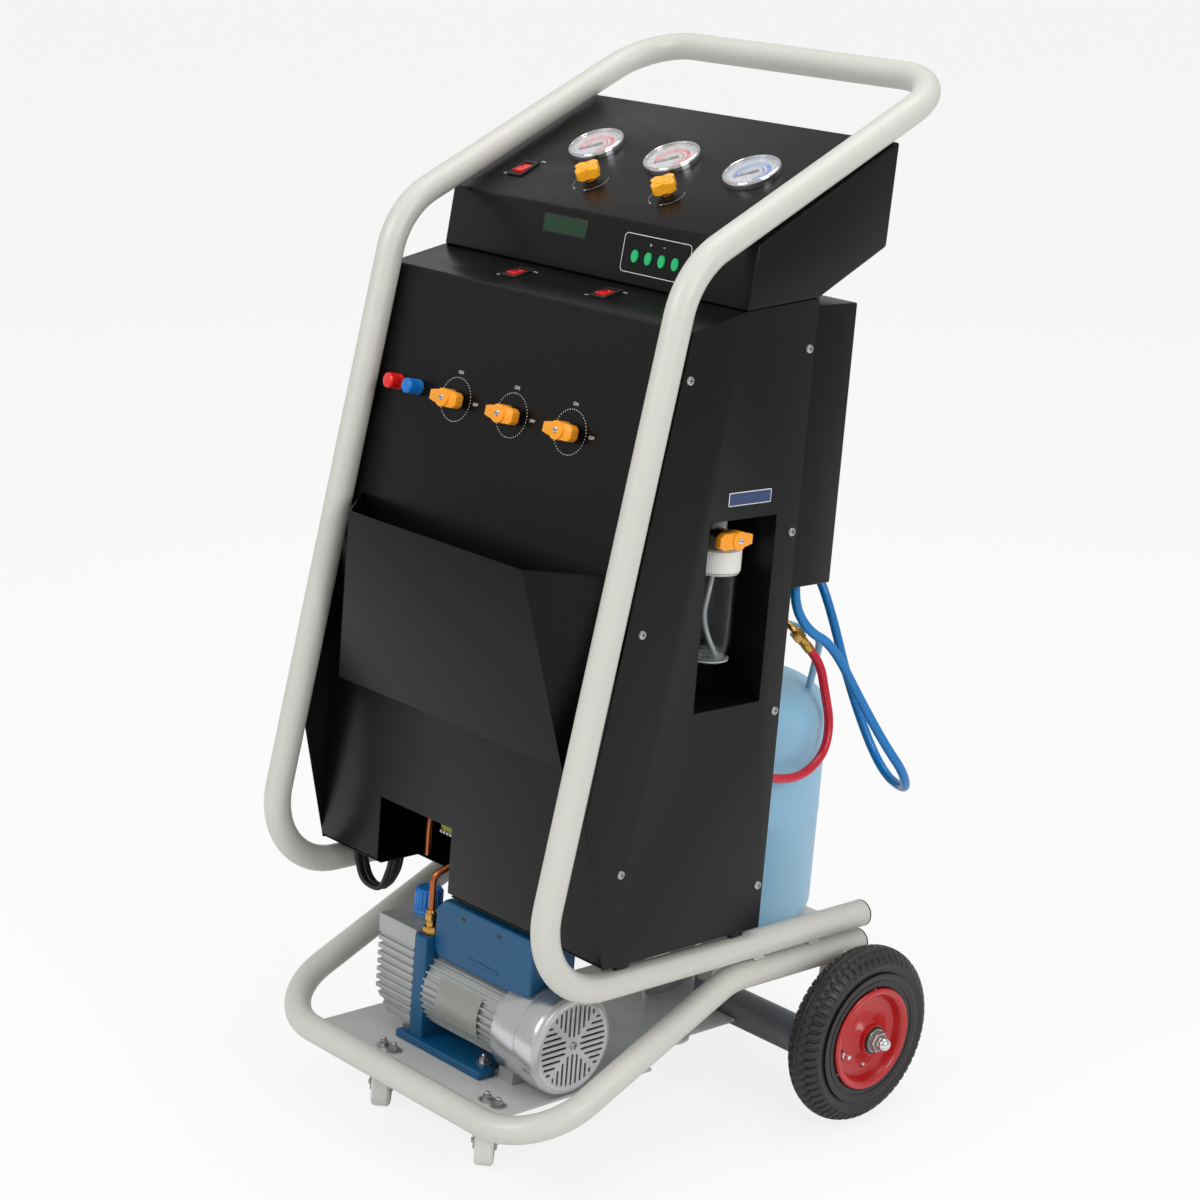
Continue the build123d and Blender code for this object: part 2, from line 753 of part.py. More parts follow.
with BuildPart() as document_pocket:
    low, top, low_z, top_z = pocket_sections(0, 0)
    with BuildSketch(Plane.XY.offset(low_z)):
        Polygon(*low, align=None)
    with BuildSketch(Plane.XY.offset(top_z)):
        Polygon(*top, align=None)
    loft(ruled=True)
    low, top, low_z, top_z = pocket_sections(sheet, sheet)
    with BuildSketch(Plane.XY.offset(low_z)):
        Polygon(*low, align=None)
    with BuildSketch(Plane.XY.offset(top_z)):
        Polygon(*top, align=None)
    loft(ruled=True, mode=Mode.SUBTRACT)
    with BuildSketch(Plane.YZ):
        Polygon((panel_foot_y - seat_gap, panel_foot_z), (panel_foot_y - seat_gap, panel_fold_z),
                (shelf_front_y - seat_gap, shelf_front_z), (0, shelf_front_z), (0, panel_foot_z), align=None)
    extrude(amount=housing_half_width, both=True, mode=Mode.SUBTRACT)
keep(document_pocket, "document_pocket")

# Gauges: a case with a bezel, a floor that carries the dial, a glass and a needle
with BuildPart() as gauge_cases:
    for gauge in (-1, 0, 1):
        here = console_plane(gauge * gauge_spacing, gauge_up)
        with BuildSketch(here):
            Circle(gauge_radius)
        extrude(amount=gauge_height)
        with BuildSketch(here):
            Circle(gauge_body_radius)
        extrude(amount=-gauge_body_depth)
        with BuildSketch(here.offset(gauge_floor)):
            Circle(gauge_radius - gauge_rim)
        extrude(amount=gauge_height, mode=Mode.SUBTRACT)
        with BuildSketch(here.offset(gauge_floor)):
            Circle(needle_boss_radius / 2)
        extrude(amount=needle_thickness)
    chamfer(gauge_cases.edges().filter_by(GeomType.CIRCLE).filter_by(
        lambda edge: abs(edge.radius - gauge_radius) < 0.01
        and console_plane(0, 0, gauge_height).contains(edge.arc_center)), gauge_rim / 2)
keep(gauge_cases, "gauge_cases")

glass_z = gauge_height - gauge_rim / 2 - glass_thickness
with BuildPart() as gauge_glasses:
    for gauge in (-1, 0, 1):
        with BuildSketch(console_plane(gauge * gauge_spacing, gauge_up, glass_z)):
            Circle(gauge_radius - gauge_rim)
        extrude(amount=glass_thickness)
keep(gauge_glasses, "gauge_glasses")

needle_low = gauge_floor + needle_thickness / 2
needle_rest = 225.0
for gauge, needle_name in ((-1, "needle_left"), (0, "needle_middle"), (1, "needle_right")):
    with BuildPart() as needle:
        with BuildSketch(console_plane(gauge * gauge_spacing, gauge_up, needle_low)):
            with Locations(Rotation(0, 0, needle_rest)):
                Polygon((-needle_tail, needle_width), (needle_length, needle_width / 5),
                        (needle_length, -needle_width / 5), (-needle_tail, -needle_width), align=None)
            Circle(needle_boss_radius)
            Circle(needle_boss_radius / 2 + stem_clearance, mode=Mode.SUBTRACT)
        extrude(amount=needle_thickness)
    keep(needle, needle_name)


def lobed_knob(name, x):
    # A four-lobed knob with its stem, which turns in the valve behind the console.
    here = console_plane(x, knob_up)
    with BuildPart() as knob:
        with BuildSketch(here.offset(knob_lift)):
            Circle(knob_radius * 0.62)
            with PolarLocations(knob_radius * 0.66, 4, start_angle=45):
                Circle(knob_radius * 0.34)
        extrude(amount=knob_height)
        with BuildSketch(here.offset(knob_lift)):
            Circle(stem_radius)
        extrude(amount=-knob_lift - 6 * sheet)
    keep(knob, name)


lobed_knob("console_knob_left", knob_left_x)
lobed_knob("console_knob_right", knob_right_x)


def valve_handle(name, here, short_wing, long_wing, height, lift):
    # A round hub with a short stepped wing on one side and a larger block on the other, and a stem.
    low = lift + height / 5
    with BuildPart() as handle:
        with BuildSketch(here.offset(lift)):
            Circle(valve_handle_hub)
        extrude(amount=height)
        with BuildSketch(here.offset(low)):
            Polygon((0, valve_handle_hub * 0.8), (-short_wing * 0.6, valve_handle_hub * 0.7),
                    (-short_wing, valve_handle_hub * 0.5), (-short_wing, -valve_handle_hub * 0.5),
                    (-short_wing * 0.6, -valve_handle_hub * 0.7), (0, -valve_handle_hub * 0.8), align=None)
            Polygon((0, valve_handle_hub * 0.9), (long_wing * 0.8, valve_handle_hub * 0.85),
                    (long_wing, valve_handle_hub * 0.5), (long_wing, -valve_handle_hub * 0.5),
                    (long_wing * 0.8, -valve_handle_hub * 0.85), (0, -valve_handle_hub * 0.9), align=None)
        extrude(amount=height * 0.65)
        with BuildSketch(here.offset(lift)):
            Circle(stem_radius)
        extrude(amount=-lift - 6 * sheet)
    keep(handle, name)


for place, handle_name in ((-1, "valve_handle_left"), (0, "valve_handle_middle"), (1, "valve_handle_right")):
    valve_handle(handle_name, front_plane(place * valve_spacing + valve_middle_x, valve_down),
                 valve_handle_length / 2, valve_handle_length / 2, valve_handle_height, valve_handle_lift)

# The niche handle stands clear in front of the bottle's cap, with its long wing to the front.
niche_valve_z = oil_bottle_bottom_z + oil_bottle_height + oil_cap_height + oil_neck_height
niche_body_x = oil_bottle_x + oil_cap_radius + seat_gap
niche_handle_plane = Plane(origin=(niche_body_x, niche_handle_y, niche_valve_z),
                           x_dir=(0, -1, 0), z_dir=(1, 0, 0))
valve_handle("niche_valve_handle", niche_handle_plane, niche_short_wing, niche_long_wing,
             niche_handle_height, 2 * seat_gap)

# Valve bodies behind the panels, the two service ports and the niche valve
stem_bore = stem_radius + stem_clearance
with BuildPart() as panel_valves:
    valve_seats = [front_plane(place * valve_spacing + valve_middle_x, valve_down, -sheet)
                   for place in (-1, 0, 1)]
    valve_seats += [console_plane(x, knob_up, -sheet) for x in (knob_left_x, knob_right_x)]
    for seat in valve_seats:
        with BuildSketch(seat):
            Circle(valve_body_radius)
        extrude(amount=-valve_body_depth)
        with BuildSketch(seat):
            Circle(stem_bore)
        extrude(amount=-6 * sheet, mode=Mode.SUBTRACT)
    for port_x in (port_left_x, port_right_x):
        with BuildSketch(front_plane(port_x, port_down, -sheet)):
            Circle(port_radius)
        extrude(amount=sheet + port_length)
        with BuildSketch(front_plane(port_x, port_down, -sheet)):
            Circle(valve_body_radius)
        extrude(amount=-valve_body_depth / 2)
    niche_back_x = housing_half_width - niche_depth + sheet
    niche_body_length = port_cap_length
    with BuildSketch(Plane(origin=(niche_back_x, niche_handle_y, niche_valve_z),
                           x_dir=(0, 1, 0), z_dir=(1, 0, 0))):
        Circle(port_radius)
    extrude(amount=niche_body_x - niche_back_x - niche_body_length / 2)
    with BuildSketch(niche_handle_plane):
        Circle(valve_body_radius * 0.8)
    extrude(amount=-niche_body_length)
    with BuildSketch(Plane.XY.offset(niche_valve_z - oil_neck_height)):
        with Locations((oil_bottle_x, oil_bottle_y)):
            Circle(port_radius)
    extrude(amount=niche_top_z - niche_valve_z + oil_neck_height)
    with BuildSketch(niche_handle_plane):
        Circle(stem_bore)
    extrude(amount=-6 * sheet - seat_gap, mode=Mode.SUBTRACT)
keep(panel_valves, "panel_valves")

cap_bore = port_length - 2
with BuildPart() as port_caps:
    for cap_x in (port_left_x, port_right_x):
        with BuildSketch(front_plane(cap_x, port_down, port_length - cap_bore)):
            Circle(port_cap_radius)
        extrude(amount=port_cap_length)
        with BuildSketch(front_plane(cap_x, port_down, port_length - cap_bore)):
            Circle(port_radius)
        extrude(amount=cap_bore, mode=Mode.SUBTRACT)
keep(port_caps, "port_caps")

# Rocker switches: a fixed bezel with its well, and a rocker on a pin across it
switch_planes = (
    ("rocker_console", console_plane(console_switch_x, console_switch_up)),
    ("rocker_shelf_left", shelf_plane(shelf_switch_left_x, shelf_switch_up)),
    ("rocker_shelf_right", shelf_plane(shelf_switch_right_x, shelf_switch_up)),
)
well_half_width = switch_half_width - sheet
well_half_length = switch_half_length - sheet
with BuildPart() as switch_bezels:
    for rocker_name, here in switch_planes:
        with BuildSketch(here):
            Rectangle(2 * (switch_half_width + switch_rim), 2 * (switch_half_length + switch_rim))
        extrude(amount=switch_rim_height)
        with BuildSketch(here):
            Rectangle(2 * switch_half_width, 2 * switch_half_length)
        extrude(amount=-switch_depth)
        with BuildSketch(here.offset(switch_rim_height)):
            Rectangle(2 * well_half_width, 2 * well_half_length)
        extrude(amount=-switch_depth, mode=Mode.SUBTRACT)
        with BuildSketch(Plane(origin=here.origin, x_dir=here.y_dir, z_dir=here.x_dir)):
            Circle(switch_pin_radius + stem_clearance)
        extrude(amount=well_half_width + switch_pin_seat + stem_clearance, both=True, mode=Mode.SUBTRACT)
keep(switch_bezels, "switch_bezels")

for rocker_name, here in switch_planes:
    across = Plane(origin=here.origin, x_dir=here.y_dir, z_dir=here.x_dir)
    reach = well_half_length - sheet
    rise = reach * math.tan(math.radians(switch_tilt))
    with BuildPart() as rocker:
        with BuildSketch(across):
            with BuildLine():
                Polyline((-reach, -3), (-reach, 2 * rise + 1), (0, 2.2), (reach, 1), (reach, -3),
                         (3, -8), (-3, -8), close=True)
            make_face()
        extrude(amount=well_half_width - seat_gap, both=True)
        with BuildSketch(across):
            Circle(switch_pin_radius)
        extrude(amount=well_half_width + switch_pin_seat, both=True)
    keep(rocker, rocker_name)

# Keypad buttons stand in the display face and slide into it
for place, button_name in enumerate(("button_first", "button_second", "button_third", "button_fourth")):
    with BuildPart() as button:
        with BuildSketch(display_plane(button_first_x + place * button_spacing, button_up, button_proud)):
            Ellipse(button_half_width, button_half_height)
        extrude(amount=-button_depth)
        with BuildSketch(display_plane(button_first_x + place * button_spacing, button_up,
                                       -sheet - seat_gap)):
            Ellipse(button_half_width + sheet, button_half_height + sheet)
        extrude(amount=-sheet)
    keep(button, button_name)

# Oil bottle in the niche and waste oil bottle on the deck
bottle_axis = Axis((oil_bottle_x, oil_bottle_y, 0), (0, 0, 1))
with BuildPart() as oil_bottle:
    with BuildSketch(Plane.XZ.offset(-oil_bottle_y)) as bottle_half:
        with BuildLine():
            Polyline((oil_bottle_x, oil_bottle_bottom_z),
                     (oil_bottle_x + oil_bottle_foot_radius, oil_bottle_bottom_z),
                     (oil_bottle_x + oil_bottle_radius, oil_bottle_bottom_z + oil_bottle_taper),
                     (oil_bottle_x + oil_bottle_radius, oil_bottle_bottom_z + oil_bottle_height),
                     (oil_bottle_x, oil_bottle_bottom_z + oil_bottle_height), close=True)
        make_face()
    revolve(axis=bottle_axis)
    offset(amount=-bottle_wall, openings=oil_bottle.faces().sort_by(Axis.Z)[-1])
keep(oil_bottle, "oil_bottle")

with BuildPart() as oil_bottle_cap:
    with BuildSketch(Plane.XY.offset(oil_bottle_bottom_z + oil_bottle_height)):
        with Locations((oil_bottle_x, oil_bottle_y)):
            Circle(oil_cap_radius)
    extrude(amount=oil_cap_height)
    fillet(oil_bottle_cap.edges().sort_by(Axis.Z)[-1], 3)
keep(oil_bottle_cap, "oil_bottle_cap")

with BuildPart() as waste_oil_bottle:
    with BuildSketch(Plane.XY.offset(plate_top_z)):
        with Locations((waste_bottle_x, waste_bottle_y)):
            Circle(waste_bottle_radius)
    extrude(amount=waste_bottle_height)
    with BuildSketch(Plane.XY.offset(plate_top_z + waste_bottle_height)):
        with Locations((waste_bottle_x, waste_bottle_y)):
            Circle(waste_bottle_radius * 0.7)
    extrude(amount=oil_cap_height * 0.6)
keep(waste_oil_bottle, "waste_oil_bottle")

# Vacuum pump
base_top_z = plate_top_z + pump_base_height
with BuildPart() as pump_base:
    with BuildSketch(Plane.XY.offset(plate_top_z)):
        with Locations(((pump_base_left_x + pump_base_right_x) / 2, pump_y)):
            Rectangle(pump_base_right_x - pump_base_left_x, 2 * pump_base_half_width)
    extrude(amount=pump_base_height)
    with BuildSketch(Plane.XY.offset(base_top_z)):
        with Locations(((post_left_x + post_right_x) / 2, pump_y)):
            Rectangle(post_right_x - post_left_x, 2 * post_half_width)
    extrude(amount=post_top_z - base_top_z)
    with BuildSketch(Plane.XY.offset(plate_top_z)):
        with Locations((pump_base_right_x, pump_y)):
            Rectangle(pump_base_height * 3, pump_base_half_width)
    extrude(amount=pump_base_height, mode=Mode.SUBTRACT)
keep(pump_base, "pump_base")

with BuildPart() as pump_oil_case:
    with BuildSketch(Plane.XZ.offset(-pump_y)):
        Polygon((post_left_x, case_bottom_z), (post_left_x, case_top_z), (case_left_x, case_top_z),
                (case_left_x, case_bottom_z + case_taper), (case_left_x + case_taper, case_bottom_z),
                align=None)
    extrude(amount=case_half_width, both=True)
    for fin in range(1, case_fins + 1):
        with BuildSketch(Plane.XY.offset(case_bottom_z + fin * fin_pitch)):
            with Locations(((case_left_x + post_left_x) / 2, pump_y)):
                Rectangle(post_left_x - case_left_x, 2 * case_half_width)
                Rectangle(post_left_x - case_left_x - 4 * fin_depth, 2 * (case_half_width - fin_depth),
                          mode=Mode.SUBTRACT)
        extrude(amount=fin_cut, mode=Mode.SUBTRACT)
    with BuildSketch(Plane.XY.offset(case_top_z)):
        with Locations((filler_x, filler_y)):
            Circle(filler_radius * 0.75)
    extrude(amount=fin_depth)
keep(pump_oil_case, "pump_oil_case")

with BuildPart() as pump_filler_cap:
    with BuildSketch(Plane.XY.offset(case_top_z + fin_depth)):
        with Locations((filler_x, filler_y)):
            Circle(filler_radius)
    extrude(amount=filler_height)
    fillet(pump_filler_cap.edges().filter_by(GeomType.CIRCLE).sort_by(Axis.Z)[-1], fin_depth)
keep(pump_filler_cap, "pump_filler_cap")

with BuildPart() as pump_motor:
    with BuildSketch(Plane.YZ.offset(post_right_x)):
        with Locations((pump_y, pump_z)):
            Circle(motor_radius - motor_fin_depth)
            with PolarLocations(motor_radius - motor_fin_depth, motor_fins):
                Rectangle(2 * motor_fin_depth, motor_fin_depth / 2)
    extrude(amount=bell_left_x - post_right_x)
    with BuildSketch(Plane.YZ.offset(bell_left_x)):
        with Locations((pump_y, pump_z)):
            Circle(bell_radius)
    extrude(amount=cowl_left_x - bell_left_x)
    with BuildSketch(Plane.YZ.offset(cowl_left_x)):
        with Locations((pump_y, pump_z)):
            Circle(fan_shaft_radius)
    extrude(amount=cowl_right_x - cowl_left_x - cowl_wall - 5)
    with BuildSketch(Plane.XY.offset(plate_top_z)):
        with Locations((pump_base_right_x + 18, pump_y)):
            Rectangle(24, motor_radius)
    extrude(amount=pump_z - plate_top_z)
keep(pump_motor, "pump_motor")

# The grille's slots run outwards in four quarters: upright above and below, level at the sides.
slot_steps = 4
with BuildPart() as pump_cowl:
    with BuildSketch(Plane.YZ.offset(cowl_left_x)):
        with Locations((pump_y, pump_z)):
            Circle(cowl_radius)
    extrude(amount=cowl_right_x - cowl_left_x)
    fillet(pump_cowl.edges().filter_by(GeomType.CIRCLE).sort_by(Axis.X)[-1], cowl_round)
    with BuildSketch(Plane.YZ.offset(cowl_left_x)):
        with Locations((pump_y, pump_z)):
            Circle(cowl_radius - cowl_round)
    extrude(amount=cowl_right_x - cowl_left_x - cowl_wall, mode=Mode.SUBTRACT)
    with BuildSketch(Plane.YZ.offset(cowl_right_x - 2 * cowl_wall)):
        with Locations((pump_y, pump_z)):
            for step in range(-slot_steps, slot_steps + 1):
                across = step * slot_pitch
                inner = max(abs(across) + 1.5 * slot_width, grille_middle)
                outer = math.sqrt(grille_radius**2 - across**2)
                middle = (inner + outer) / 2
                with Locations((across, middle), (across, -middle)):
                    SlotOverall(outer - inner, slot_width, rotation=90)
                with Locations((middle, across), (-middle, across)):
                    SlotOverall(outer - inner, slot_width)
    extrude(amount=4 * cowl_wall, mode=Mode.SUBTRACT)
keep(pump_cowl, "pump_cowl")

fan_left_x = cowl_right_x - cowl_wall - 5 - fan_width
with BuildPart() as pump_fan:
    with BuildSketch(Plane.YZ.offset(fan_left_x)):
        with Locations((pump_y, pump_z)):
            Circle(fan_hub_radius)
            with PolarLocations((fan_radius + fan_hub_radius) / 2 - 1, fan_blades):
                Rectangle(fan_radius - fan_hub_radius, slot_width)
            Circle(fan_shaft_radius + hub_clearance, mode=Mode.SUBTRACT)
    extrude(amount=fan_width - 3)
keep(pump_fan, "pump_fan")

# The pump's top housing, a rounded box that sits over the motor
with BuildPart() as pump_top:
    with BuildSketch(Plane.XZ.offset(-pump_y)):
        with BuildLine():
            Polyline((top_left_x, top_bottom_z + 10), (top_left_x, top_top_z - 14),
                     (top_left_x + 14, top_top_z), (top_right_x - 8, top_top_z),
                     (top_right_x, top_top_z - 10), (top_right_x, top_bottom_z + 5),
                     (bell_left_x, top_bottom_z), (top_left_x + 8, top_bottom_z), close=True)
        top_face = make_face()
        fillet(top_face.vertices(), top_round)
    extrude(amount=top_half_width, both=True)
    fillet(pump_top.faces().sort_by(Axis.Y)[0].edges(), top_round / 2)
    fillet(pump_top.faces().sort_by(Axis.Y)[-1].edges(), top_round / 2)
    with BuildSketch(Plane.YZ.offset(top_left_x - top_round)):
        with Locations((pump_y, pump_z)):
            Circle(motor_radius + seat_gap)
    extrude(amount=bell_left_x - top_left_x + top_round, mode=Mode.SUBTRACT)
    with BuildSketch(Plane.YZ.offset(bell_left_x - seat_gap)):
        with Locations((pump_y, pump_z)):
            Circle(bell_radius)
    extrude(amount=2 * bell_radius, mode=Mode.SUBTRACT)
keep(pump_top, "pump_top")

pipe_top_z = 161.0
with BuildPart() as pump_fitting:
    for low, high, across in ((0, 10, fitting_radius * 1.15), (18, 27, fitting_radius)):
        with BuildSketch(Plane.XY.offset(post_top_z + low)):
            with Locations((fitting_x, fitting_y)):
                RegularPolygon(across, 6)
        extrude(amount=high - low)
    with BuildSketch(Plane.XY.offset(post_top_z)):
        with Locations((fitting_x, fitting_y)):
            Circle(fitting_radius * 0.8)
    extrude(amount=pipe_start + 6)
    with BuildLine() as pipe_path:
        FilletPolyline((fitting_x, fitting_y, post_top_z + pipe_start), (fitting_x, fitting_y, pipe_top_z),
                       (fitting_x + pipe_run_x, fitting_y + pipe_run_y, pipe_top_z + pipe_rise),
                       radius=pipe_bend)
    with BuildSketch(Plane.XY.offset(post_top_z + pipe_start)):
        with Locations((fitting_x, fitting_y)):
            Circle(pipe_radius)
    sweep(path=pipe_path.line)
keep(pump_fitting, "pump_fitting")

# Compressor inside the housing, seen through the notch
with BuildPart() as compressor:
    with BuildSketch(Plane.XY.offset(housing_bottom_z + sheet)):
        with Locations((compressor_x, compressor_y)):
            Circle(compressor_radius)
    extrude(amount=compressor_height)
    fillet(compressor.edges().filter_by(GeomType.CIRCLE).sort_by(Axis.Z)[-1], compressor_radius * 0.6)
keep(compressor, "compressor")

# Tank on its stand behind the housing
with BuildPart() as tank:
    with BuildSketch(Plane.XY.offset(tank_bottom_z)):
        with Locations((0, tank_y)):
            Circle(tank_radius)
    extrude(amount=tank_body_height)
    fillet(tank.edges().filter_by(GeomType.CIRCLE).sort_by(Axis.Z)[-1], tank_crown)
    fillet(tank.edges().filter_by(GeomType.CIRCLE).sort_by(Axis.Z)[0], tank_foot_round)
    tank_top_z = tank_bottom_z + tank_body_height
    guard_foot_z = tank_top_z - 2 * guard_rod_radius
    for guard_y in (tank_y - guard_offset, tank_y + guard_offset):
        with BuildLine() as guard_path:
            FilletPolyline((-guard_foot_half, guard_y, guard_foot_z),
                           (-guard_half_width, guard_y, tank_top_z + guard_height),
                           (guard_half_width, guard_y, tank_top_z + guard_height),
                           (guard_foot_half, guard_y, guard_foot_z), radius=guard_bend)
        with BuildSketch(Plane(origin=guard_path.line @ 0, z_dir=guard_path.line % 0)):
            Circle(guard_rod_radius)
        sweep(path=guard_path.line)
keep(tank, "tank")

outlet_z = tank_top_z + 84
outlet_x = 84.0
elbow_way = Vector(0.42, 0.53, -0.735).normalized()
elbow_length = 42.0
elbow_nut_start = 10.0
elbow_nut_length = 14.0
elbow_corner = Vector(outlet_x, tank_y, outlet_z)
elbow_end = elbow_corner + elbow_way * elbow_length
with BuildPart() as tank_valve:
    with BuildSketch(Plane.XY.offset(tank_top_z)):
        with Locations((0, tank_y)):
            Circle(fitting_radius * 2)
    extrude(amount=outlet_z + 8 - tank_top_z)
    with BuildSketch(Plane.XY.offset(outlet_z + 8)):
        with Locations((0, tank_y)):
            RegularPolygon(fitting_radius * 2, 8)
    extrude(amount=8)
    with BuildLine() as outlet_path:
        FilletPolyline((fitting_radius, tank_y, outlet_z), elbow_corner, elbow_end, radius=pipe_bend)
    with BuildSketch(Plane(origin=outlet_path.line @ 0, z_dir=outlet_path.line % 0)):
        Circle(pipe_radius)
    sweep(path=outlet_path.line)
    with BuildSketch(Plane(origin=elbow_corner + elbow_way * elbow_nut_start, z_dir=elbow_way)):
        RegularPolygon(fitting_radius, 6)
    extrude(amount=elbow_nut_length)
    with BuildSketch(Plane(origin=elbow_end, z_dir=elbow_way)):
        Circle(hose_radius + seat_gap)
    extrude(amount=elbow_nut_start + elbow_nut_length - elbow_length)
keep(tank_valve, "tank_valve")

with BuildPart() as tank_stand:
    with BuildSketch(Plane.XY.offset(tank_bottom_z)):
        with Locations((0, tank_y)):
            Rectangle(2 * platform_half, 2 * platform_half - 2 * tank_foot_round)
    extrude(amount=-platform_thickness)
    with BuildSketch(Plane.XY.offset(tank_bottom_z - platform_thickness)):
        with Locations(*[(side * stand_half_width, upright_y) for side in (-1, 1)]):
            Rectangle(stand_post, stand_post)
    extrude(amount=cross_tube_z - tank_bottom_z + platform_thickness)
    with Locations((0, upright_y, cross_tube_z)):
        Cylinder(cross_tube_radius, 4 * platform_half, rotation=(0, 90, 0), mode=Mode.SUBTRACT)
keep(tank_stand, "tank_stand")


def bend_radii(points, share=0.45):
    # Each arc takes this share of the shorter of the two runs that it joins.
    radii = []
    for before, corner, after in zip(points, points[1:], points[2:]):
        first = Vector(*corner) - Vector(*before)
        second = Vector(*after) - Vector(*corner)
        half_turn = math.radians(first.get_angle(second)) / 2
        radii.append(share * min(first.length, second.length) / math.tan(half_turn))
    return radii


def cord_block(name, points, radius):
    radii = bend_radii(points)
    print(name, "bend radii", [round(value, 1) for value in radii])
    with BuildPart() as cord:
        with BuildLine() as path:
            FilletPolyline(*points, radius=radii)
        with BuildSketch(Plane(origin=path.line @ 0, z_dir=path.line % 0)):
            Circle(radius)
        sweep()
    keep(cord, name)


blue_hose_points = [
    (226, -110, rear_box_bottom_z - seat_gap / 2),
    (226, -110, 522),
    (232, -88, 488),
    (236, -48, 468),
    (245, 0, 397),
    (260, 35, 341),
    (272, 62, 304),
    (246, 100, 268),
    (181, 125, 273),
    (138, 105, 366),
    (117, 80, 464),
    (95, 70, 512),
    (60, 60, 540),
    (20, 50, 532),
    (0, tank_y, 505),
    (0, tank_y, outlet_z + 16 + seat_gap / 2),
]
cord_block("blue_hose", blue_hose_points, hose_radius)

hose_start = elbow_end + elbow_way * (seat_gap / 2)
hose_second = hose_start + elbow_way * 20
red_hose_points = [
    (hose_start.X, hose_start.Y, hose_start.Z),
    (hose_second.X, hose_second.Y, hose_second.Z),
    (119, 82, 360),
    (125, 90, 322),
    (133, 76, 288),
    (138, 38, 268),
    (143, -10, 271),
    (147, -60, 288),
    (148, -100, 296),
    (148, housing_rear_y + seat_gap / 2, 296),
]
cord_block("red_hose", red_hose_points, hose_radius)

# Power cord hank hung up under the front left of the housing: a bundle bent into a flat ring
with BuildPart() as power_cord:
    with BuildSketch(Plane.XZ.offset(345)):
        with Locations((hank_x, housing_bottom_z - seat_gap - hank_height / 2)):
            SlotOverall(hank_length, hank_height)
            SlotOverall(hank_length - 2 * hank_thickness, hank_height - 2 * hank_thickness, mode=Mode.SUBTRACT)
    extrude(amount=hank_depth)
    fillet(power_cord.edges().group_by(Axis.Y)[0] + power_cord.edges().group_by(Axis.Y)[-1], hank_depth / 3)
keep(power_cord, "power_cord_hank")

# The cart leans back onto its casters. The wheels' axis is the frame's own X, so only the
# lean, the height and a shift to the middle of the footprint place it.
loose_names = ("blue_hose", "red_hose", "power_cord_hank")
tilted = [piece.moved(Location((0, 0, wheel_radius), (-lean_angle, 0, 0))) for piece in pieces]
solid_boxes = [piece.bounding_box() for piece, drawn in zip(tilted, pieces) if drawn.label not in loose_names]
low_y = min(box.min.Y for box in solid_boxes)
high_y = max(box.max.Y for box in solid_boxes)
footprint_shift = -(low_y + high_y) / 2
print("lean", lean_angle, "wheel radius", wheel_radius, "footprint shift", round(footprint_shift, 3))
for piece, drawn in zip(tilted, pieces):
    placed = piece.moved(Location((0, footprint_shift, 0)))
    placed.label = drawn.label
    export_step(placed, "parts/" + drawn.label + ".step")
    box = placed.bounding_box()
    print(drawn.label, len(placed.solids()), [round(value, 1) for value in (*box.min, *box.max)])
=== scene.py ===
import math

import bpy
import bmesh
from mathutils import Matrix, Vector


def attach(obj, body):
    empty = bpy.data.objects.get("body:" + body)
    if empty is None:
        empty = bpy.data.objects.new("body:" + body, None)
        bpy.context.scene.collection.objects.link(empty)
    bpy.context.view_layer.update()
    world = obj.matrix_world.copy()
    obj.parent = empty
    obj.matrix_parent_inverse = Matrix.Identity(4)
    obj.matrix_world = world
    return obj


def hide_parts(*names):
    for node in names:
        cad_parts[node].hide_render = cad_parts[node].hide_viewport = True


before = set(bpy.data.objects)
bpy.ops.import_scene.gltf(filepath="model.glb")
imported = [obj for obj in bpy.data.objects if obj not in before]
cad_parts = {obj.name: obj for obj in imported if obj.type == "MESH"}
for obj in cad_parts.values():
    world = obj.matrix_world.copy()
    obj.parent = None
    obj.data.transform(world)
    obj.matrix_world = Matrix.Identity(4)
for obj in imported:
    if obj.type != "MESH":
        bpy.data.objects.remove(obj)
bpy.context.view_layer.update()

# The cart is measured level, in millimetres, from the middle of its wheel axle. It stands
# leaning back, so every point goes through the stance to reach the scene's metres.
leanAngle = math.radians(6.0)
wheelRadius = 107.5
footprintShift = 141.447
stance = (
    Matrix.Translation((0, footprintShift / 1000, wheelRadius / 1000))
    @ Matrix.Rotation(-leanAngle, 4, "X")
    @ Matrix.Scale(0.001, 4)
)

# Side view of the housing, as (y, z)
housingHalf = 249.4
shelfFront = Vector((-330.5, 845.0))
shelfRear = Vector((-253.8, 862.8))
consoleFront = Vector((-244.7, 931.6))
consoleRear = Vector((-35.8, 1040.0))
panelFold = Vector((-390.0, 534.0))
frameHalf = 238.5
tubeRadius = 16.0


def planeMatrix(origin, xAxis, zAxis):
    # A local frame at origin, in cart millimetres, with its z along zAxis.
    z = Vector(zAxis).normalized()
    x = (Vector(xAxis) - z * Vector(xAxis).dot(z)).normalized()
    y = z.cross(x)
    m = Matrix((x, y, z)).transposed().to_4x4()
    m.translation = Vector(origin)
    return m


def faceMatrix(start, end, up, x, lift=0.0):
    along = (end - start).normalized()
    out = Vector((0, -along.y, along.x))
    origin = Vector((x, start.x + along.x * up, start.y + along.y * up)) + out * lift
    return planeMatrix(origin, (1, 0, 0), out)


def consoleMatrix(x, up, lift=0.0):
    return faceMatrix(consoleFront, consoleRear, up, x, lift)


def displayMatrix(x, up, lift=0.0):
    return faceMatrix(shelfRear, consoleFront, up, x, lift)


def shelfMatrix(x, up, lift=0.0):
    return faceMatrix(shelfFront, shelfRear, up, x, lift)


frontRun = (shelfFront - panelFold).length


